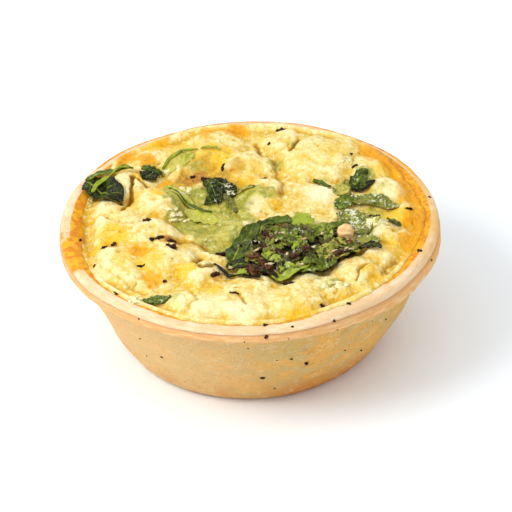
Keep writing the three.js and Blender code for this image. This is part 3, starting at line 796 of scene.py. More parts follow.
uneven_x = map_x + 1.3 * ripple(map_x, map_y, 6, 1.9) + 0.5 * ripple(map_x, map_y, 2.4, 0.6)
uneven_y = map_y + 1.3 * ripple(map_x, map_y, 6, 4.4) + 0.5 * ripple(map_x, map_y, 2.4, 3.6)
calm = patches_at(SMOOTH_POOLS, uneven_x, uneven_y)
crumbly = patches_at(CRUMBLY_PLACES, uneven_x, uneven_y)
crease_x = map_x + 0.5 * ripple(map_x, map_y, 4, 1)
crease_y = map_y + 0.5 * ripple(map_x, map_y, 4, 2)
creases = np.max([
    depth * np.exp(-((distance_to_chain(settled_rows(chain), crease_x, crease_y) / width) ** 2))
    for chain, depth, width in CREASES
], axis=0)
print("creases:", len(CREASES), "deepest:", round(float(creases.max()), 1))

# %% [markdown]
# ## The green hollow
# Left of the middle the egg sank and spinach lies just under it. The film of egg there is thin,
# wet, milky in places and wrinkled. Its mask is used twice: for wrinkles in the relief and, later,
# for the colour.

# %% Green hollow
GREEN_PATCHES = settled_rows([
    (-20, 14, 7, 1.1), (-14, 8, 9, 1.4), (-9, -2, 9, 1.3), (-7, -10, 6, 1.1), (-18, 3, 7, 1.1),
    (-4, 5, 7, 1.2), (32.7, 25.3, 4, 0.7), (7.1, 31, 3.2, 0.8), (20, 20.5, 3, 0.6), (34, 6, 7, 0.6),
    (33, -3, 5, 0.8), (-22, -38, 3.4, 0.6), (23, -32, 4, 0.6), (6, 14, 3.4, 0.7), (-3, 12, 7, 1.1),
    (-13, 16, 6, 1.1), (2, 15, 4, 0.8),
    (-11.4, -23.5, 2.6, 0.5), (12, 40, 2.4, 0.6), (36, 17, 4, 0.5), (-16, 31, 5, 0.5),
])
green = patches_at(GREEN_PATCHES, uneven_x, uneven_y)
wrinkle_x = map_x + 1.1 * ripple(map_x, map_y, 5, 6.1)
wrinkle_y = map_y + 1.1 * ripple(map_x, map_y, 5, 7.7)
wrinkles = (1 - np.abs(ripple(wrinkle_x, wrinkle_y, 5.5, 2.9))) ** 6
print("green share:", round(float((green > 0.5).mean()), 2))

# %% [markdown]
# ## The egg's top as a height
# Every place on the egg has one height, so one map can say where its top is. The egg is lowest
# along the case and swells inwards within a few millimetres, and at the back it has spilled over
# the lip. Its very edge lies on the pastry, with no step.

# %% The height of the case and of the egg
inner_line = list(reversed(inner.points))
lip_line = [point for point in outer.points if point[1] > RIM_TOP - 0.6]
case_line = np.array(sorted(set(inner_line + lip_line)))


def case_height(radius):
    return np.interp(radius, case_line[:, 0], case_line[:, 1])


def fill_edge(angle):
    spill = EDGE_REACH["back"] * smoothstep(np.cos(angle - math.radians(86)), 0.3, 0.72)
    front = EDGE_REACH["front"] * smoothstep(np.cos(angle + math.radians(90)), 0, 0.85)
    right = EDGE_REACH["right"] * smoothstep(np.cos(angle), 0.2, 0.9)
    wander = 0.4 * np.sin(7 * angle + 1) + 0.25 * np.sin(13 * angle + 2)
    scallops = 0.22 * np.sin(31 * angle) * np.sin(12 * angle + 1) + 0.14 * np.sin(67 * angle + 2)
    return FILL_EDGE_RADIUS + np.maximum(spill, np.maximum(front, right)) + wander + scallops


fine = stamp(CURDS, 1.15) * (1 - 0.85 * calm) * (0.7 + 0.6 * ripple(map_x, map_y, 19, 3.3))
fine += stamp(CRUMBLE, 1.1, 2) * (0.25 + 1.5 * crumbly) * (1 - 0.7 * calm)
fine -= stamp(PORES, 1) * (1 - calm)
fine += 0.3 * green * wrinkles + 0.06 * ripple(map_x, map_y, 2.3, 0.7)
open_top = FILL_LEVEL + LUMP_RISE * soften(stamp(LUMPS), 0.9) + 0.22 * ripple(map_x, map_y, 7, 1.3)
open_top += 0.5 * soften(stamp(KNOBS), 0.4) * (1 - 0.6 * calm) - stamp(HOLLOWS) + fine - creases
map_angle = np.arctan2(map_y, map_x)
map_radius = np.hypot(map_x, map_y) / roundness(map_angle)
map_edge = fill_edge(map_angle)
on_case = case_height(map_radius) + rim_rise(map_radius, map_angle)
inward = 1 - smoothstep(map_radius, map_edge - EDGE_SLOPE_WIDTH, map_edge)
thin = 0.1 + 0.9 * smoothstep(map_edge - map_radius, 0, 1.4)
egg_top = np.maximum(blend(on_case, open_top, np.sqrt(inward)), on_case + thin)
food_top = np.where(map_radius < map_edge, egg_top, on_case)
bridged_top = soften(food_top, 0.7) + 0.35
# The finish uses these two maps for painted shade in hollows and creases and painted light on humps.
sunken = np.clip(soften(egg_top, 1.8) - egg_top, -2, 2)
finely_sunken = np.clip(soften(egg_top, 0.5) - egg_top, -1, 1)
print("egg in the middle:", round(float(sample(egg_top, np.zeros(1), np.zeros(1))[0]), 1))

# %% [markdown]
# ## The egg filling
# A grid primitive has even cells, where a fan of triangles would crowd in the middle. Its square
# is rounded out to the egg's edge and lifted to the height above. Then its border is extruded ring
# by ring down under the edge and along the case, and merged on the axis to close the body.

# %% Shape the egg
EGG_CELLS = 284
UNDERSIDE_RADII = [45, 39, 33, 16]

start_fresh()
bpy.ops.mesh.primitive_grid_add(x_subdivisions=EGG_CELLS, y_subdivisions=EGG_CELLS, size=2 * MM)
egg = bpy.context.object
egg.name = "egg_filling_baked"
square = read_points(egg)[:, :2]
share = np.abs(square).max(axis=1)
egg_angle = np.arctan2(square[:, 1], square[:, 0])
egg_reach = fill_edge(egg_angle) * roundness(egg_angle) * share
egg_x = egg_reach * np.cos(egg_angle)
egg_y = egg_reach * np.sin(egg_angle)
write_points(egg, np.stack([egg_x, egg_y, sample(egg_top, egg_x, egg_y)], axis=1))


def selected_points(piece):
    chosen = np.zeros(len(piece.data.vertices), bool)
    piece.data.vertices.foreach_get("select", chosen)
    return chosen


def extrude_ring(piece, ring_at):
    """Extrudes the selected border and puts its points where ring_at says, by their angle."""
    bpy.ops.mesh.extrude_region_move()
    bpy.ops.object.mode_set(mode="OBJECT")
    chosen = selected_points(piece)
    moved = read_points(piece)
    angle = np.arctan2(moved[chosen, 1], moved[chosen, 0])
    moved[chosen] = ring_at(angle)
    write_points(piece, moved)
    bpy.ops.object.mode_set(mode="EDIT")


def bed_ring(radius_at):
    def ring_at(angle):
        radius = radius_at(angle)
        reach = radius * roundness(angle)
        height = case_height(radius) + rim_rise(radius, angle)
        return np.stack([reach * np.cos(angle), reach * np.sin(angle), height], axis=1)
    return ring_at


bpy.ops.object.mode_set(mode="EDIT")
bpy.ops.mesh.select_mode(type="VERT")
bpy.ops.mesh.select_all(action="SELECT")
bpy.ops.mesh.region_to_loop()
for back in (0, 0.8, 1.8):
    extrude_ring(egg, bed_ring(lambda angle: fill_edge(angle) - back))
for ring_radius in UNDERSIDE_RADII:
    extrude_ring(egg, bed_ring(lambda angle: np.full_like(angle, ring_radius)))
bpy.ops.mesh.merge(type="CENTER")
bpy.ops.mesh.select_all(action="SELECT")
bpy.ops.mesh.normals_make_consistent(inside=False)
bpy.ops.object.mode_set(mode="OBJECT")
bpy.ops.object.shade_smooth()
print("egg:", triangles(egg), "triangles")

# %% [markdown]
# ## What colours the egg
# Egg browns first where it stands high or lies thin. Soft patches say where it is golden, where
# orange, where a scorched fleck left a brown halo and where it stayed white. Their outlines come
# from the uneven places used above, so no patch looks round.

# %% Masks of the egg
GOLDEN_PATCHES = settled_rows([
    (-31.8, 23.3, 3.6, 1.0), (-25.6, 13, 4, 0.9), (-31, 13, 3, 0.5), (-38.9, -5.6, 5.5, 0.9),
    (-43, -12, 4, 0.7), (-17.3, -24.5, 4, 1.0), (-9.7, -34.7, 2.4, 1.0), (-10.8, 34.1, 7, 0.9),
    (-4.3, 18.6, 8, 0.8), (15, 31.5, 3, 0.6), (36, 5, 8, 0.5), (39.2, 28.9, 6, 0.7), (41.2, 3.2, 6, 0.9),
    (40, -12, 6, 0.7), (14.2, -45.7, 7, 0.6), (27, -38, 5, 0.5), (34, -27, 4, 0.7), (-28, -20, 6, 0.6),
    (-20, -12, 4, 0.5), (-36, -20, 6, 0.4), (24, 36, 7, 0.4), (5, 44, 5, 0.4), (-28, 41, 5, 0.9),
    (-20, 38, 5, 0.6), (0, 28, 5, 0.5), (7, 12, 3, 0.8), (-36, 8, 4, 0.5), (-2, -27, 3, 0.5),
    (-15, -34, 4, 0.4), (30, -12, 4, 0.6), (28, -20, 5, 0.4),
])
ORANGE_PATCHES = settled_rows([
    (-31.2, -14.8, 5, 0.9), (-27.5, -28, 5, 0.8), (-35.5, 34.1, 5, 1.0), (-29.8, 32.5, 4.5, 0.9),
    (-4.3, 48.5, 5, 1.0), (-13, 46.5, 4, 0.8), (-25, 42.5, 3.5, 0.7), (46.3, 3.2, 4.5, 1.0),
    (45.6, -8, 5, 0.95), (44, 14, 4, 0.7), (42, 22, 4, 0.6), (-22.4, -9.2, 3, 0.7), (-45.5, -13, 3, 0.6),
    (14, -48.5, 5, 0.6), (-5.4, 26.4, 2.6, 0.9), (-38.5, -10, 3, 0.7), (-26, 12, 2.5, 0.5),
    (36, 31, 3, 0.4), (-23, 21.5, 3.6, 0.9),
])
BROWN_PATCHES = settled_rows([
    (-22, -9.5, 3.4, 1.0), (-40, -12, 3, 0.8), (-9.5, -28, 2.6, 0.8), (-8, -14, 2.6, 0.7),
    (-29.5, -1.2, 2, 0.6), (-14.5, 25.5, 4, 0.8), (-18, 23.5, 2.5, 0.7), (-5.4, 26.4, 1.6, 0.8),
    (-26, -9.4, 2, 0.5), (-22.2, -14.8, 1.6, 0.4), (19.9, -41.1, 1.4, 0.7), (-23.9, -28.7, 1.2, 0.6),
])
OLIVE_PATCHES = settled_rows([
    (-14, 30, 6, 0.8), (-18, 24, 5, 1.0), (-9, 24, 6, 0.9), (-4, 28, 4, 0.7), (-4.5, 18, 6, 0.9),
    (-2, 12, 4, 0.7),
    (-24.6, 16.6, 2.6, 0.8), (-12, 16, 5, 0.8), (-28.4, 30, 2.4, 0.6), (-7, -9, 3, 0.5), (-16, -9, 3, 0.6),
])
WHITE_PATCHES = settled_rows([
    (19.9, 17, 5, 1.0), (-2, -45.5, 5, 0.7), (-11.4, -43, 5, 0.6), (3, -40, 4, 0.4), (-43.2, -25, 5, 0.5),
    (1.5, 9.6, 3, 0.6), (-32, -0.5, 4, 0.3), (20, -26, 4, 0.3),
])

edge_turn = np.degrees(np.arctan2(map_y, map_x))
edge_side = smoothstep(edge_turn, -36, -12) * (1 - smoothstep(edge_turn, 40, 62))
edge_reach = np.hypot(uneven_x, uneven_y) + 1.6 * ripple(map_x, map_y, 9, 2.2)
browned_edge = 1.1 * edge_side * smoothstep(edge_reach, 41, 50)
egg_points = read_points(egg)
egg_masks = {
    "golden": patches_at(GOLDEN_PATCHES, uneven_x, uneven_y),
    "orange": np.maximum(patches_at(ORANGE_PATCHES, uneven_x, uneven_y), browned_edge),
    "brown": patches_at(BROWN_PATCHES, uneven_x, uneven_y),
    "white": patches_at(WHITE_PATCHES, uneven_x, uneven_y),
    "green": green,
    # sunken, finely_sunken and crease carry painted shade in hollows and creases and painted light on humps.
    "sunken": sunken,
    "finely_sunken": finely_sunken,
    "olive": patches_at(OLIVE_PATCHES, uneven_x, uneven_y),
    "crease": soften(creases, 0.3),
}
for name, chart in egg_masks.items():
    write_mask(egg, name, sample(chart, egg_points[:, 0], egg_points[:, 1]))
print("masks:", ", ".join(egg_masks))

# %% [markdown]
# ## Baked egg
# Baked egg lets some light in, so it has subsurface scattering, and it is moist, with a satin
# shine that is stronger on the wet film. The colour starts as cream on the humps and a deeper
# yellow in the hollows, pale on each curd and deep yellow between the curds: painted light on the
# tops and painted shade in the hollows. Then each mask mixes its own colour in, its border broken
# up by noise, and the creases, fine and deep, get darker painted shade. White specks of cheese show
# in the green film.

# %% Egg finish
egg_finish = Finish("baked_egg", {"Specular IOR Level": 0.2, "Subsurface Weight": 0.22, "Coat Roughness": 0.12})
egg_finish.shader.inputs["Subsurface Scale"].default_value = 1.6 * MM
egg_finish.shader.inputs["Subsurface Radius"].default_value = (0.9, 0.75, 0.25)
cloud = egg_finish.noise(7, 4, 0.6)
blotch = egg_finish.noise(2.6, 4, 0.65)
fleck = egg_finish.noise(0.9, 3, 0.6)
sunk = egg_finish.attribute("sunken")
dip = egg_finish.attribute("finely_sunken")
curd = egg_finish.cells(1.7, egg_finish.swirled(1.8, 1.1))
yolk = egg_finish.mix(cloud.within(0.38, 0.62), colour(231, 200, 98), colour(239, 217, 136))
# Painted shade: deeper yellow in the hollows.
yolk = egg_finish.mix(sunk.within(-0.1, 0.5) * 0.8, yolk, colour(216, 172, 26))
# Painted light: paler cream on the humps.
yolk = egg_finish.mix(sunk.within(0, -0.5) * 0.65, yolk, colour(250, 238, 186))
# Painted light on each curd's top and painted shade between the curds, following the curd relief.
yolk = egg_finish.mix(curd.within(0.5, 0.85) * 0.5, yolk, colour(250, 241, 198))
yolk = egg_finish.mix(curd.within(0.4, 0.15) * 0.5, yolk, colour(212, 162, 22))
yolk = egg_finish.mix(blotch.within(0.44, 0.3) * 0.5, yolk, colour(226, 180, 40))
golden = egg_finish.attribute("golden") + (blotch - 0.5) * 0.6
yolk = egg_finish.mix(golden.within(0.1, 0.8) * 0.85, yolk, colour(238, 190, 18))
orange = egg_finish.attribute("orange") + (blotch - 0.5) * 0.8 + (fleck - 0.5) * 0.4
yolk = egg_finish.mix(orange.within(0.3, 0.85) * 0.9, yolk, colour(238, 168, 8))
yolk = egg_finish.mix(orange.within(0.8, 1.2) * 0.7, yolk, colour(212, 134, 8))
bare = (1 - orange.within(0.3, 0.7)) * 0.45
yolk = egg_finish.mix(fleck.within(0.54, 0.7) * bare, yolk, colour(251, 243, 204))
olive = egg_finish.attribute("olive") + (blotch - 0.5) * 0.6
yolk = egg_finish.mix(olive.within(0.2, 0.8) * 0.85, yolk, colour(204, 160, 44))
yolk = egg_finish.mix(olive.within(0.6, 1.1) * fleck.within(0.35, 0.6) * 0.8, yolk, colour(142, 110, 34))
brown = egg_finish.attribute("brown") + (fleck - 0.5) * 0.9
yolk = egg_finish.mix(brown.within(0.3, 0.8) * 0.75, yolk, colour(186, 122, 44))
yolk = egg_finish.mix(brown.within(0.75, 1.1) * 0.8, yolk, colour(104, 56, 24))
green_edge = egg_finish.attribute("green") + (blotch - 0.5) * 0.8
film = green_edge.within(0.3, 0.75)
yolk = egg_finish.mix(film * 0.9, yolk, colour(192, 182, 74))
veil = egg_finish.noise(3.4, 4, 0.7)
milky = egg_finish.noise(1.9, 4, 0.7)
yolk = egg_finish.mix(film * veil.within(0.42, 0.58) * 0.8, yolk, colour(138, 142, 40))
yolk = egg_finish.mix(film * milky.within(0.54, 0.66) * 0.6, yolk, colour(232, 228, 168))
yolk = egg_finish.mix(egg_finish.attribute("white") * 0.85, yolk, colour(252, 242, 200))
# Painted shade in the fine creases.
yolk = egg_finish.mix(dip.within(0.04, 0.22) * 0.55, yolk, colour(206, 148, 28))
# Painted shade: the deep creases are coloured dark.
dark_crease = egg_finish.attribute("crease").within(0.35, 1.1)
yolk = egg_finish.mix(dark_crease * 0.85, yolk, colour(146, 104, 12))
relief = egg_finish.bump(curd, 0.4)
relief = egg_finish.bump(egg_finish.noise(1.3, 4, 0.65), 0.45, relief)
relief = egg_finish.bump(egg_finish.noise(0.4, 3, 0.6), 0.12, relief)
egg_finish.feed(egg_finish.shader.inputs["Coat Weight"], film * 0.12)
egg_finish.show(base_color=yolk, roughness=0.5 - 0.18 * film, normal=relief)
dress(egg, "egg_filling", "baked_egg", egg_finish.material)

# %% [markdown]
# ## A wilted leaf
# Each leaf is a grid whose two directions run from stalk to tip and from edge to edge. Its midrib
# is a curve through a start, a bend and a tip, and `rise` says how far each of the three stands
# above the ground. The grid takes the leaf's outline, folds along the midrib, ruffles at the edges
# and puckers between the veins. Solidify gives it thickness.

# %% Leaf maker
LEAF_THICKNESS = 0.36


def leaf_points(leaf, s, t, ground, seed):
    start, tip = np.array(leaf["start"]), np.array(leaf["tip"])
    bend = np.array(leaf.get("bend", (start + tip) / 2))
    rise_start, rise_bend, rise_tip = leaf.get("rise", (0.6, 0.6, 0.6))
    a, b, c = (1 - s) ** 2, 2 * s * (1 - s), s * s
    middle = np.outer(a, start) + np.outer(b, bend) + np.outer(c, tip)
    heading = np.outer(1 - s, bend - start) + np.outer(s, tip - bend)
    heading /= np.hypot(heading[:, 0], heading[:, 1])[:, None]
    blunt = leaf.get("blunt", 0.2)
    outline = blunt + (1 - blunt) * np.abs(np.sin(np.pi * s**0.85)) ** 0.6
    frill = 1 + 0.12 * np.sin(9 * s + seed) + 0.08 * np.sin(23 * s + 5 * seed + 2 * np.sign(t))
    across = t * leaf["width"] / 2 * outline * frill
    x = middle[:, 0] - across * heading[:, 1]
    y = middle[:, 1] + across * heading[:, 0]
    ruffle = leaf.get("ruffle", 0.4)
    wave = ruffle * np.abs(t) * (0.5 + 0.5 * np.sin(11 * s + 2.2 * np.sign(t) + seed))
    wave += 0.4 * ruffle * t * t * np.sin(29 * s + 3 * seed + np.sign(t))
    shape = leaf.get("fold", 0.1) * np.abs(across) + leaf.get("lean", 0) * across
    crumple = leaf.get("crumple", 0.3)
    creased = crumple * (np.abs(ripple(x, y, 3.2, seed)) + 0.6 * np.abs(ripple(x, y, 1.5, seed + 3)) - 0.4)
    pucker = 0.2 * np.abs(np.sin(np.pi * (s * 6 - np.abs(t) * 1.4))) * (1 - t * t)
    rise = a * rise_start + b * rise_bend + c * rise_tip
    z = ground(x, y) + rise + wave + shape + creased + pucker
    return np.stack([x, y, z], axis=1)


def make_leaf(leaf, ground, seed, cells=(44, 26)):
    start_fresh()
    bpy.ops.mesh.primitive_grid_add(x_subdivisions=cells[0], y_subdivisions=cells[1], size=1 * MM)
    piece = bpy.context.object
    flat = read_points(piece)
    s = np.clip(flat[:, 0] + 0.5, 0, 1)
    t = np.clip(2 * flat[:, 1], -1, 1)
    write_points(piece, leaf_points(leaf, s, t, ground, seed))
    rough_edge = np.abs(t) + 0.4 * s + 0.3 * np.sin(13 * s + seed)
    write_mask(piece, "scorch", smoothstep(rough_edge, 0.9, 1.5) * leaf.get("scorch", 0.3))
    write_mask(piece, "tone", np.full(len(s), leaf.get("tone", 0.3)))
    write_mask(piece, "frost_and_highlight", np.full(len(s), leaf.get("frost_and_highlight", 0)))
    write_mask(piece, "veil", np.full(len(s), leaf.get("veil", 0)))
    thicken = piece.modifiers.new("thickness", "SOLIDIFY")
    thicken.thickness = LEAF_THICKNESS * MM
    thicken.offset = 0
    bpy.ops.object.modifier_apply(modifier=thicken.name)
    bpy.ops.object.shade_smooth()
    return piece


def on_food(x, y):
    return sample(bridged_top, x, y)


print("a leaf is", LEAF_THICKNESS, "mm thick")

# %% [markdown]
# ## Spinach
# Wilted spinach is dark green and wet, with small glints where it is wettest. Each leaf carries its
# own tone, from nearly black to the light green of a midrib. Thin edges are scorched brown. Where
# egg ran over a leaf a yellow veil hides part of it. White specks stand partly for melted cheese
# on a leaf and partly for painted highlights on the wet leaf. Two finishes share one recipe: the
# dark leaves, and the paler ones sunk in the egg.

# %% Leaf finishes
def leaf_finish(name, dark, middle, light, shine):
    finish = Finish(name, {"Specular IOR Level": 0.15, "Coat Roughness": 0.1})
    flat = finish.node("TexCoord", output="UV")
    parts = finish.tree.nodes.new("ShaderNodeSeparateXYZ")
    finish.feed(parts.inputs[0], flat)
    s = Wire(finish, parts.outputs[0])
    t = finish.node("Math", {"operation": "ABSOLUTE"}, {0: Wire(finish, parts.outputs[1]) * 2 - 1})
    patchy = finish.noise(2.0, 4, 0.65)
    tone = finish.attribute("tone") + (patchy - 0.5) * 1.5
    green = finish.mix(tone.within(0, 0.5), dark, middle)
    green = finish.mix(tone.within(0.5, 1.0), green, light)
    stripe = finish.node("Math", {"operation": "COSINE"}, {0: (s * 6 - t * 1.4) * TURN})
    vein = stripe.within(0.86, 1.0) * (1 - t.within(0.6, 0.95)) * patchy.within(0.35, 0.6)
    green = finish.mix(vein * 0.45, green, light)
    midrib = (1 - t.within(0.03, 0.1)) * (1 - s.within(0.4, 0.9))
    green = finish.mix(midrib * 0.7, green, light)
    scorched = finish.attribute("scorch") + (finish.noise(1.1, 4, 0.6) - 0.5) * 0.5
    green = finish.mix(scorched.within(0.3, 0.55) * 0.9, green, colour(66, 34, 18))
    smeared = finish.attribute("veil") * finish.noise(2.2, 4, 0.7).within(0.34, 0.56)
    green = finish.mix(smeared * 0.9, green, colour(206, 192, 92))
    grains = finish.noise(0.7, 3, 0.6) * 0.35 + finish.noise(2.6, 5, 0.75) * 0.65
    grains = grains + finish.attribute("frost_and_highlight") * 0.09
    # White specks: partly melted cheese, partly painted highlights on the wet leaf.
    frost_and_highlight_specks = grains.within(0.58, 0.63) * finish.attribute("frost_and_highlight").within(0, 0.3)
    green = finish.mix(frost_and_highlight_specks * 0.9, green, colour(226, 226, 190))
    relief = finish.bump(finish.noise(1.0, 4, 0.6), 0.35)
    relief = finish.bump(finish.noise(0.35, 2, 0.5), 0.05, relief)
    glints = finish.noise(1.4, 4, 0.7).within(0.54, 0.62) * 0.8
    finish.feed(finish.shader.inputs["Coat Weight"], glints + shine)
    finish.show(base_color=green, roughness=0.2 + 0.3 * patchy, normal=relief)
    return finish.material


dark_spinach = leaf_finish("dark_spinach", colour(20, 22, 0), colour(74, 92, 10), colour(158, 172, 52), 0)
pale_spinach = leaf_finish("pale_spinach", colour(78, 96, 14), colour(150, 160, 34), colour(186, 190, 62), 0.1)
print("leaf finishes:", dark_spinach.name, pale_spinach.name)

# %% [markdown]
# ## The separate leaves
# Ten leaves lie apart from the bunch. Some are folded over or torn, so they are made of two or
# three blades: a dark body, a lighter turned-up edge and a pale midrib.

# %% Ten separate leaves
LEAVES = {
    "spinach_leaf_rim": [
        dict(start=(-47, 20.4), bend=(-42.5, 18.5), tip=(-37.2, 9.6), width=9, tone=0.1,
             rise=(0.4, 1.2, 0.5)),
        dict(start=(-46.8, 21), bend=(-42, 26.6), tip=(-33.4, 27), width=2.8, tone=0.62, lean=-0.5,
             rise=(0.6, 1.8, 1.0), crumple=0.05, scorch=0.1),
        dict(start=(-45, 15.4), bend=(-43, 23.4), tip=(-34.4, 25), width=1.3, tone=1.1, crumple=0.05,
             rise=(1.7, 2.2, 1.2), scorch=0),
    ],
    "spinach_leaf_back": [
        dict(start=(-31, 28), bend=(-28, 27.4), tip=(-25.2, 26.4), width=2.2, tone=0.4, rise=(0.5, 1, 0.5)),
        dict(start=(-27.6, 27), bend=(-28.6, 24), tip=(-30.3, 20.6), width=5, tone=0.02,
             rise=(0.5, 0.6, 0.2)),
    ],
    "spinach_leaf_pale": [
        dict(start=(-25, 27), bend=(-21.5, 32), tip=(-16, 34.5), width=4.4, tone=0.6, veil=1, lean=0.2,
             crumple=0.2, rise=(-0.5, -0.3, -0.5), scorch=0),
        dict(start=(-25, 28.5), bend=(-21.5, 35), tip=(-15, 36.5), width=1, tone=0.45, crumple=0.05,
             rise=(0.4, 0.8, 0.3), scorch=0),
        dict(start=(-14, 36.5), bend=(-11, 38), tip=(-8.5, 36.5), width=0.8, tone=0.6, veil=0.4,
             crumple=0.05,
             rise=(0.1, 0.4, 0.1), scorch=0),
    ],
    "spinach_leaf_sunk": [
        dict(start=(-24, 20), bend=(-20.5, 15.5), tip=(-15.5, 11.5), width=4, tone=0.7, veil=0.6, frost_and_highlight=0.3,
             crumple=0.2, rise=(-0.4, -0.1, -0.4), scorch=0),
        dict(start=(-18.5, 9), bend=(-13.5, 7), tip=(-9, 3), width=5.4, tone=0.7, veil=0.7, crumple=0.25,
             rise=(-0.5, -0.2, -0.5), scorch=0),
        dict(start=(-23, 17), bend=(-18, 11.5), tip=(-11, 8), width=0.8, tone=0.05, crumple=0.05,
             rise=(0.3, 0.7, 0.4), scorch=0),
    ],
    "spinach_leaf_right": [
        dict(start=(29, 19), bend=(31, 22), tip=(33, 26), width=4.6, tone=0.35, crumple=0.6, frost_and_highlight=0.2,
             rise=(0.2, 0.8, 0.3)),
        dict(start=(29, 18), bend=(32.5, 20), tip=(35.5, 21), width=3.4, tone=0, crumple=0.5,
             rise=(0.2, 0.5, 0.1)),
        dict(start=(24, 16), bend=(27, 19.5), tip=(30, 24), width=4.6, tone=0.6, veil=0.9, crumple=0.3,
             rise=(-0.3, 0, -0.2), scorch=0),
        dict(start=(18, 22.5), bend=(20, 21), tip=(23, 19), width=1.3, tone=0.5, rise=(-0.1, 0.1, 0)),
    ],
    "spinach_leaf_strip": [
        dict(start=(25, 8), bend=(26.5, 12.5), tip=(31, 14.5), width=4.6, tone=0.55, crumple=0.5,
             rise=(0.1, 0.7, 0.3), frost_and_highlight=0.3),
        dict(start=(28, 13), bend=(34, 13.5), tip=(42, 8), width=4.2, tone=0.45, crumple=0.5,
             rise=(0.3, 0.5, 0),
             frost_and_highlight=0.6, veil=0.3),
    ],
    "spinach_leaf_front": [
        dict(start=(-29.8, -38.8), bend=(-26, -37.6), tip=(-22.2, -38.6), width=3.4, tone=-0.3,
             rise=(0, 0.2, 0),
             frost_and_highlight=0.5, crumple=0.2),
    ],
    "spinach_tuft": [
        dict(start=(-12.5, 23.5), bend=(-10.5, 18.5), tip=(-9, 13), width=4.2, tone=0.15,
             rise=(0.1, 0.8, 0.1),
             frost_and_highlight=0.3, crumple=0.5),
        dict(start=(-10.5, 23.5), bend=(-6.5, 19), tip=(-4.5, 15), width=4.4, tone=0, rise=(0.2, 0.9, 0),
             frost_and_highlight=0.3, crumple=0.5),
        dict(start=(-8.5, 18.5), bend=(-6, 14), tip=(-4, 8), width=1.8, tone=0.2, rise=(0.2, 0.3, 0),
             frost_and_highlight=0.2, veil=0.3),
        dict(start=(-6, 16), bend=(-2, 16), tip=(1.5, 17), width=1.4, tone=0.3, rise=(-0.1, 0.1, -0.2),
             veil=0.8),
        dict(start=(-10, 16), bend=(-11.5, 14), tip=(-13, 12.5), width=2.4, tone=0.3, rise=(0.2, 0.4, 0),
             frost_and_highlight=0.4),
    ],
    "spinach_leaf_frosted": [
        dict(start=(26.5, 7), bend=(29, 2), tip=(33.5, -6), width=8, tone=0.4, rise=(0.1, 0.8, 0.2),
             frost_and_highlight=0.7,
             veil=0.3, crumple=0.6),
        dict(start=(31, 5.5), bend=(34.5, 1), tip=(35.5, -3.5), width=5, tone=0.6, rise=(-0.2, 0.2, 0),
             frost_and_highlight=0.5,
             veil=0.9, crumple=0.5),
    ],
    "spinach_shred": [
        dict(start=(39.2, -0.4), bend=(40.6, -2), tip=(42.6, -3), width=3, tone=0.35, rise=(0.2, 0.6, 0.3)),
        dict(start=(33.4, 3.8), bend=(35, 4.4), tip=(36.8, 5), width=0.9, tone=0.1, rise=(0.1, 0.3, 0.1)),
    ],
}
PALE_LEAVES = ("spinach_leaf_pale", "spinach_leaf_sunk", "spinach_leaf_front")

for seed, (node, blades) in enumerate(LEAVES.items()):
    made = [make_leaf(laid(blade), on_food, seed + 0.7 * n) for n, blade in enumerate(blades)]
    slot, material = ("pale_spinach", pale_spinach) if node in PALE_LEAVES else ("dark_spinach", dark_spinach)
    dress(join(made, node + "_wilted"), node, slot, material)

# %% [markdown]
# ## The bunch
# A heap of wilted spinach is many leaves stuck together over a dark wet core. The leaves that can
# be told apart are laid one by one, and small crumpled scraps fill the spaces between them.

# %% The core of the bunch
BUNCH = dict(x=13.5, y=-16.2, length=40, width=26.6, heading=math.radians(5.5), height=1.7)


def in_bunch(x, y):
    """0 in the middle of the bunch and 1 at its edge."""
    dx, dy = x - BUNCH["x"], y - BUNCH["y"]
    cosine, sine = math.cos(BUNCH["heading"]), math.sin(BUNCH["heading"])
    along = (dx * cosine + dy * sine) / (BUNCH["length"] / 2)
    across = (dy * cosine - dx * sine) / (BUNCH["width"] / 2)
    return np.minimum(1, np.hypot(along, across))


def on_bunch(x, y):
    return on_food(x, y) + BUNCH["height"] * (1 - in_bunch(x, y) ** 2)


start_fresh()
bpy.ops.mesh.primitive_ico_sphere_add(subdivisions=6, radius=MM)
core = bpy.context.object
ball = read_points(core)
along, across = 0.84 * ball[:, 0] * BUNCH["length"] / 2, 0.84 * ball[:, 1] * BUNCH["width"] / 2
cosine, sine = math.cos(BUNCH["heading"]), math.sin(BUNCH["heading"])
core_x = BUNCH["x"] + along * cosine - across * sine
core_y = BUNCH["y"] + along * sine + across * cosine
crumple = 0.5 * np.abs(ripple(core_x, core_y, 4, 6)) + 0.4 * np.abs(ripple(core_x, core_y, 1.9, 2))
swell = np.where(ball[:, 2] > 0, 0.7 + crumple, 1)
core_z = on_bunch(core_x, core_y) + swell * ball[:, 2]
write_points(core, np.stack([core_x, core_y, core_z], axis=1))
write_mask(core, "tone", np.full(len(ball), 0.05))
write_mask(core, "scorch", 0.45 + 0.3 * ripple(core_x, core_y, 7, 4))
write_mask(core, "frost_and_highlight", np.full(len(ball), 0.0))
write_mask(core, "veil", np.full(len(ball), 0.0))
bpy.ops.object.shade_smooth()
print("core:", triangles(core), "triangles")

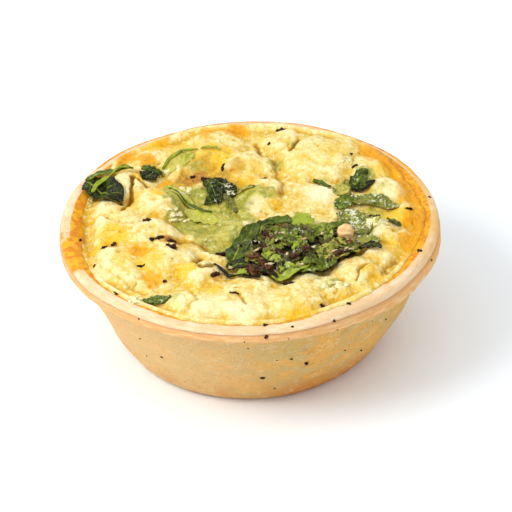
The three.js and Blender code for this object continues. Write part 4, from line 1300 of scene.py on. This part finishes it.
# %% The leaves of the bunch
BUNCH_LEAVES = [
    dict(start=(-5, -20), bend=(-2.5, -11), tip=(2, -2.5), width=6.6, tone=0.35, rise=(0.3, 1.4, 1.5),
         fold=0.25),
    dict(start=(-0.5, -6.5), bend=(3, -2), tip=(7, -1.5), width=4.6, tone=0.35, rise=(0.8, 1.9, 1.6)),
    dict(start=(3.5, -2), bend=(8, 1.5), tip=(13.5, -2), width=5, tone=0.45, rise=(1.2, 2.0, 1.4),
         lean=-0.2),
    dict(start=(15, -6), bend=(15, -2), tip=(15, 1.5), width=5.6, tone=0.95, rise=(0.6, 2.2, 3.2),
         blunt=0.7, fold=0.06, crumple=0.15, scorch=0),
    dict(start=(17.5, -9.5), bend=(20, -5), tip=(24, -2), width=5.4, tone=0.7, rise=(1.0, 1.8, 1.6)),
    dict(start=(21, -3.5), bend=(25, -1.5), tip=(29, -3.5), width=4, tone=0.5, rise=(1.0, 1.9, 1.4)),
    dict(start=(6.6, -11), bend=(10, -8.6), tip=(13.8, -8), width=4.6, tone=0.65, rise=(1.2, 2, 1.6),
         frost_and_highlight=0.35),
    dict(start=(9, -13.6), bend=(11.8, -12), tip=(16.4, -12), width=3.6, tone=0.75, rise=(1.2, 1.8, 1.4)),
    dict(start=(12, -16), bend=(14, -14.8), tip=(16, -14), width=3, tone=0.8, rise=(1.2, 1.7, 1.4),
         scorch=0),
    dict(start=(3.6, -18.6), bend=(6, -20), tip=(8.8, -22.4), width=3.4, tone=0.9, rise=(1.2, 1.7, 1.2),
         frost_and_highlight=0.3),
    dict(start=(-4.6, -28), bend=(-1.6, -27.6), tip=(1.6, -29), width=4, tone=1, rise=(0.3, 0.9, 0.3),
         scorch=0.1),
    dict(start=(6, -29.4), bend=(11, -28.4), tip=(16.6, -23), width=7, tone=0.9, rise=(0.5, 1.3, 1.4),
         frost_and_highlight=0.3, scorch=0),
    dict(start=(14, -27.4), bend=(18, -25.4), tip=(22.4, -20), width=6, tone=0.65, rise=(0.6, 1.2, 1.2),
         frost_and_highlight=0.2),
    dict(start=(28.4, -14.8), bend=(33, -13.4), tip=(37, -16.8), width=3, tone=0.02, rise=(0.8, 1.2, 0.6)),
    dict(start=(29.6, -8.4), bend=(33.6, -9.4), tip=(36.4, -13), width=5, tone=0.6, rise=(0.6, 1.2, 0.6),
         frost_and_highlight=0.6, veil=0.5),
    dict(start=(-10, -24.4), bend=(-5, -29.6), tip=(3, -31), width=1.8, tone=-0.3, rise=(0.3, 0.7, 0.4),
         crumple=0.1, scorch=0.1),
    dict(start=(0.4, -27.4), bend=(4, -27), tip=(8, -29.6), width=4.4, tone=0.1, rise=(0.8, 1.4, 0.7),
         scorch=0.9),
    dict(start=(19, -16.4), bend=(23, -18), tip=(27.4, -21.4), width=6.6, tone=0.6, rise=(1.2, 1.6, 0.9),
         veil=0.7),
    dict(start=(-6.6, -22.4), bend=(-3, -21.4), tip=(1, -23.6), width=4.6, tone=0.15, rise=(0.5, 1.2, 1.0),
         scorch=0.6),
    dict(start=(22.6, -12), bend=(26, -13.4), tip=(30.4, -17.6), width=6, tone=0.55, rise=(1.2, 1.7, 0.8),
         veil=0.8),
    dict(start=(14, -20.4), bend=(11.4, -22.6), tip=(9.6, -26), width=4, tone=0.0, rise=(1.3, 1.6, 1.0)),
]
SCRAP_COUNT = 38


def scrap(n):
    """A crumpled bit of leaf on the heap, placed by the sunflower rule."""
    share = 0.84 * math.sqrt((n + 0.5) / SCRAP_COUNT)
    turn = n * GOLDEN_ANGLE
    draw = [float(chance(n, channel)) for channel in range(60, 70)]
    x = BUNCH["x"] + share * BUNCH["length"] * math.cos(turn) / 2
    y = BUNCH["y"] + share * BUNCH["width"] * math.sin(turn) / 2
    reach = 1.8 + 1.6 * draw[0]
    heading = TURN * draw[1]
    return dict(
        start=(x - reach * math.cos(heading), y - reach * math.sin(heading)),
        bend=(x + 1.5 * (draw[2] - 0.5), y + 1.5 * (draw[3] - 0.5)),
        tip=(x + reach * math.cos(heading), y + reach * math.sin(heading)),
        width=2 + 2.2 * draw[4],
        rise=(0.5 + draw[5], 1.0 + 1.1 * draw[6], 0.5 + 1.2 * draw[7]),
        fold=0.5 * draw[8],
        crumple=0.5,
        ruffle=0.7,
        tone=-0.3 + 1.05 * draw[9],
        frost_and_highlight=0.35 * draw[0],
        veil=0.3 * draw[3],
        scorch=0.1 + 0.8 * draw[2],
    )


heap = [core]
for n, leaf in enumerate(BUNCH_LEAVES):
    heap.append(make_leaf(dict({"crumple": 0.4, "ruffle": 0.5}, **laid(leaf)), on_bunch, n, (34, 20)))
for n in range(SCRAP_COUNT):
    heap.append(make_leaf(scrap(n), on_bunch, 30 + n, (18, 12)))
print("leaves and scraps:", len(heap) - 1)
dress(join(heap, "spinach_bunch_wilted"), "spinach_bunch", "dark_spinach", dark_spinach)

# %% [markdown]
# ## Small bits
# Charred flecks, crumbs of white cheese and grains of pepper are all small uneven bits. A ball is
# given a size along, across and up, is made lumpy, turned and set down, and each kind is joined
# into one piece.

# %% Bit maker
def make_bits(name, places, sizes, turns, seed, detail=3, lumpy=0.35):
    """Bits at the given places. Sizes are half widths along, across and up, turns are in degrees."""
    made = []
    for n, (place, size, turn) in enumerate(zip(places, sizes, turns)):
        start_fresh()
        bpy.ops.mesh.primitive_ico_sphere_add(subdivisions=detail, radius=MM)
        bit = bpy.context.object
        ball = read_points(bit)
        swell = ripple(ball[:, 0] + 3.1 * n, ball[:, 1] + 1.7 * ball[:, 2], 1.5, seed)
        swell = swell + 0.4 * (chance(np.arange(len(ball)) + 97 * n, seed) - 0.5)
        ball = ball * (1 + lumpy * swell)[:, None] * np.array(size)
        cosine, sine = math.cos(math.radians(turn)), math.sin(math.radians(turn))
        spun = np.stack([
            ball[:, 0] * cosine - ball[:, 1] * sine,
            ball[:, 0] * sine + ball[:, 1] * cosine,
            ball[:, 2],
        ], axis=1)
        write_points(bit, spun + np.array(place))
        bpy.ops.object.shade_smooth()
        made.append(bit)
    return join(made, name)


def resting(spots, ground, above):
    x, y = np.array(spots, float).T
    return np.stack([x, y, ground(x, y) + above], axis=1)


def on_egg(x, y):
    return sample(egg_top, x, y)


print("bits are ready to make")

# %% [markdown]
# ## Charred flecks
# Scorched bits of spinach and pepper sit in the egg, each half sunk in its brown halo. They are
# nearly black with a brown edge and slightly shiny. No two have the same shape, so each has its
# own place, length, width and heading, and is built from three overlapping broken bits.

# %% Charred flecks
FLECKS = settled_rows([
    (-29.3, -1.2, 1.2, 0.55, -20), (-40.9, -13.3, 0.85, 0.75, 0), (-38.6, -10.7, 0.95, 0.75, 40),
    (-27.6, -9.7, 0.6, 0.5, 0), (-25.6, -9.2, 1.3, 0.5, 15), (-22.2, -9.4, 1.2, 0.7, 10),
    (-22.2, -14.8, 1.5, 0.55, -35), (-21.4, -14.2, 0.9, 0.6, 60), (-8.2, -13.8, 1.35, 0.8, 0),
    (-30.7, -22.5, 1.1, 0.22, 15), (-23.9, -28.7, 0.5, 0.45, 0), (-9.7, -28.2, 1.15, 0.8, 10),
    (-4.3, -38, 1.25, 0.35, 15), (10.8, -32.6, 1.45, 0.4, 0), (20.3, -41.4, 0.8, 0.5, -30),
    (-7.7, 28.9, 1.5, 0.35, 80), (8.8, 49.4, 1.1, 0.5, 0), (5.4, 40.8, 0.4, 0.3, 0), (29.9, 28.2, 0.9, 0.3, 20),
    (4.3, 24.8, 0.4, 0.25, 0), (29, 35.1, 0.4, 0.3, 0), (44.9, 6.6, 1.2, 0.14, 8), (-13.2, 24.4, 0.7, 0.6, 0),
    (-16.4, 25.8, 0.6, 0.5, 30), (-36.6, 9.4, 0.45, 0.4, 0), (-48, -6.4, 0.5, 0.3, 60),
    (-43.9, -20.8, 0.6, 0.14, 50), (-37.6, -35, 0.7, 0.16, -50), (27.6, -40.8, 0.5, 0.25, 0),
])
char = Finish("charred_bits", {"Specular IOR Level": 0.15})
burnt = char.mix(char.noise(0.6, 3).within(0.42, 0.68), colour(26, 13, 8), colour(96, 48, 22))
char.show(base_color=burnt, roughness=0.4 + 0.3 * char.noise(0.5), normal=char.bump(char.noise(0.4, 3), 0.2))
FLECK_GROWTH = 1.15


def broken(n, fleck, part):
    """One of a fleck's three overlapping bits. part is -1, 0 or 1 along its heading."""
    x, y, along, across, turn = fleck
    draw = [float(chance(3 * n + part, channel)) for channel in range(80, 84)]
    forward, aside = 0.55 * part * along, 1.1 * across * (draw[0] - 0.5)
    cosine, sine = math.cos(math.radians(turn)), math.sin(math.radians(turn))
    place = (x + forward * cosine - aside * sine, y + forward * sine + aside * cosine)
    size = (0.5 * along * (0.8 + 0.6 * draw[1]), 0.75 * across * (0.7 + 0.7 * draw[2]), 0.3 + 0.2 * across)
    return place, tuple(FLECK_GROWTH * side for side in size), turn + 80 * (draw[3] - 0.5)


fleck_bits = [broken(n, fleck, part) for n, fleck in enumerate(FLECKS) for part in (-1, 0, 1)]
fleck_places = resting([place for place, size, turn in fleck_bits], on_egg, 0.06)
fleck_sizes = [size for place, size, turn in fleck_bits]
fleck_turns = [turn for place, size, turn in fleck_bits]
flecks = make_bits("charred_flecks", fleck_places, fleck_sizes, fleck_turns, 71, 3, 0.6)
dress(flecks, "egg_filling", "dark_spinach", char.material)

# %% [markdown]
# ## Pepper on the pastry
# A few grains of pepper stuck to the lip and the wall before baking. Each row is its turn round
# the case in degrees, its height and its size, and it goes to the nearest point of the surface.

# %% Pepper grains
PEPPER = [
    (-86, 37, 0.55), (-86, 35, 0.5), (-77.5, 36.7, 0.35), (-64.5, 35.8, 0.45), (-63.5, 33.5, 0.2),
    (-92.5, 33.7, 0.2), (-79.5, 34, 0.2), (-92, 27, 0.25), (-81.5, 22, 0.2), (-77, 21.5, 0.35),
    (-71, 18.5, 0.6), (-87, 13.5, 0.5), (-82, 7.5, 0.25), (-55, 17, 0.25), (-45.5, 13.5, 0.3),
    (-37, 22, 0.3), (-45, 25, 0.2), (-20, 38, 0.55), (-18, 35, 0.3), (11, 36.9, 0.35),
    (-126, 16, 0.35), (-133.5, 22, 0.25), (-126, 35.2, 0.25), (-136, 13, 0.2),
]


def nearest_on_case(turn, at_height):
    """The point of the case's outside nearest to a turn in degrees and a height."""
    off = (degrees - turn + 180) % 360 - 180
    away = (math.radians(1) * off * radius) ** 2 + (height - at_height) ** 2
    return shaped[int(np.argmin(np.where(outside, away, 1e9)))]


pepper_places = [nearest_on_case(*row[:2]) for row in PEPPER]
pepper_sizes = [(1.25 * row[2], 0.9 * row[2], 0.8 * row[2]) for row in PEPPER]
pepper_turns = [360 * float(chance(n, 5)) for n in range(len(PEPPER))]
pepper = make_bits("pepper_grains", pepper_places, pepper_sizes, pepper_turns, 73, 3, 0.5)
dress(pepper, "pastry_case", "dark_spinach", char.material)

# %% [markdown]
# ## Scorched bits in the bunch
# Between the leaves of the bunch lie red-brown scorched bits, and on them cream and pale brown grains.

# %% Scorched bits and pale grains
SCORCHED = settled_rows([
    (4.8, -8.6, 1.9), (4.2, -15, 1.6), (1.6, -20.6, 2.0), (4.8, -26, 2.2), (0.8, -28.4, 1.9), (12, -20.4, 1.9),
    (16, -17.4, 1.5), (25.6, -20, 1.8), (23, -21.8, 1.4), (28, -12.6, 1.4), (6, -11.6, 1.4), (3.4, -22.6, 1.6),
    (22.4, -5.6, 1.1), (17, -10.4, 1.2), (7.6, -17.6, 1.3),
])
GRAINS = settled_rows([
    (7.5, -13, 60), (6, -9.5, 20), (10.5, -20, 80), (15.5, -12.5, 0), (2, -17.5, 40), (14.5, -25.5, 10),
    (9, -9, 0), (20.5, -9, 0), (27, -16.5, 60), (24, -18, 15), (-5.5, -25, 0), (5.5, -24, 5),
    (18, -16.5, 20), (28.5, -17.5, 0),
])
scorched_places = resting([row[:2] for row in SCORCHED], on_bunch, 1.5)
scorched_sizes = [(row[2], 0.8 * row[2], 0.6 * row[2]) for row in SCORCHED]
scorched_turns = [360 * float(chance(n, 6)) for n in range(len(SCORCHED))]
red_char = Finish("red_brown_char", {"Specular IOR Level": 0.2})
rust = red_char.mix(red_char.noise(1.0, 4, 0.65).within(0.4, 0.64), colour(34, 16, 6), colour(116, 68, 28))
red_char.show(base_color=rust, roughness=0.45, normal=red_char.bump(red_char.noise(0.5, 3), 0.25))
scorched_bits = make_bits("scorched_bits", scorched_places, scorched_sizes, scorched_turns, 77, 4, 0.6)
dress(scorched_bits, "spinach_bunch", "dark_spinach", red_char.material)

grain_places = resting([row[:2] for row in GRAINS], on_bunch, 2.3)
GRAIN_HEIGHT = 0.34
grain_sizes = [
    (0.5 + 0.8 * float(chance(n, 7)), 0.3 + 0.25 * float(chance(n, 8)), GRAIN_HEIGHT)
    for n in range(len(GRAINS))
]
grain_finish = Finish("pale_grains", {"Subsurface Weight": 0.2, "Specular IOR Level": 0.5})
grain_finish.shader.inputs["Subsurface Scale"].default_value = 1 * MM
toasting = grain_finish.noise(1.5, 3).within(0.4, 0.6)
cream = grain_finish.mix(toasting, colour(226, 208, 164), colour(190, 154, 104))
grain_finish.show(base_color=cream, roughness=0.35)
grains = make_bits("pale_grains", grain_places, grain_sizes, [row[2] for row in GRAINS], 79, 3, 0.5)
dress(grains, "spinach_bunch", "cheese", grain_finish.material)

# %% [markdown]
# ## Cheese
# One round toasted curd sits on the bunch at the right. Small white crumbs of cheese lie in front
# of the bunch, in the green hollow, beside the tuft and on the front leaf.

# %% Toasted curd and white crumbs
curd_low, curd_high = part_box("cheese_curd")
curd_middle = (curd_low + curd_high) / 2 / MM
toasted_cheese = Finish("toasted_cheese", {"Subsurface Weight": 0.2})
toasted_cheese.shader.inputs["Subsurface Scale"].default_value = 2 * MM
toasting = toasted_cheese.noise(2, 4).within(0.38, 0.66)
skin = toasted_cheese.mix(toasting, colour(240, 206, 150), colour(226, 168, 96))
curd_relief = toasted_cheese.bump(toasted_cheese.noise(0.8, 4), 0.3)
toasted_cheese.show(base_color=skin, roughness=0.6, normal=curd_relief)
curd = make_bits("toasted_curd", [tuple(curd_middle)], [(2.4, 2.3, 2.2)], [0], 75, 5, 0.13)
dress(curd, "cheese_curd", "cheese", toasted_cheese.material)

CRUMB_CLUSTERS = [
    dict(x=20.4, y=-32.6, spread=2.6, count=9, size=0.8),
    dict(x=25.6, y=-32.2, spread=2.0, count=5, size=0.8),
    dict(x=-20.4, y=5.2, spread=3.0, count=9, size=0.6),
    dict(x=-18.6, y=18.6, spread=2.4, count=9, size=0.6),
    dict(x=-24.2, y=28.2, spread=1.5, count=4, size=0.7),
    dict(x=-31.4, y=-38.4, spread=2.8, count=12, size=0.6),
    dict(x=28, y=31, spread=2.4, count=5, size=0.45),
    dict(x=29.6, y=-1, spread=4.2, count=12, size=0.36),
    dict(x=35.6, y=-2.8, spread=1.2, count=3, size=1.2),
]
crumb_spots = []
crumb_sizes = []
for cluster, heap in enumerate(CRUMB_CLUSTERS):
    heap_x, heap_y = settled(heap["x"], heap["y"])
    for n in range(heap["count"]):
        turn = n * GOLDEN_ANGLE + 0.9 * float(chance(n, 11 + cluster)) + cluster
        reach = heap["spread"] * math.sqrt((n + 0.3) / heap["count"])
        size = heap["size"] * (0.55 + 0.9 * float(chance(n, 21 + cluster)))
        crumb_spots.append((heap_x + reach * math.cos(turn), heap_y + 0.7 * reach * math.sin(turn)))
        crumb_sizes.append((size * 1.5, size, size * 0.45))
crumb_turns = [360 * float(chance(n, 33)) for n in range(len(crumb_spots))]
white_cheese = Finish("white_cheese", {"Subsurface Weight": 0.1, "Specular IOR Level": 0.2})
white_cheese.shader.inputs["Subsurface Scale"].default_value = 1.5 * MM
yellowing = white_cheese.noise(1.6, 3).within(0.4, 0.62)
milk = white_cheese.mix(yellowing, colour(246, 234, 184), colour(230, 216, 136))
white_cheese.show(base_color=milk, roughness=0.4, normal=white_cheese.bump(white_cheese.noise(0.6, 3), 0.2))
crumb_places = resting(crumb_spots, on_food, -0.3)
crumbs = make_bits("cheese_crumbs", crumb_places, crumb_sizes, crumb_turns, 81, 3, 0.7)
dress(crumbs, "egg_filling", "cheese", white_cheese.material)
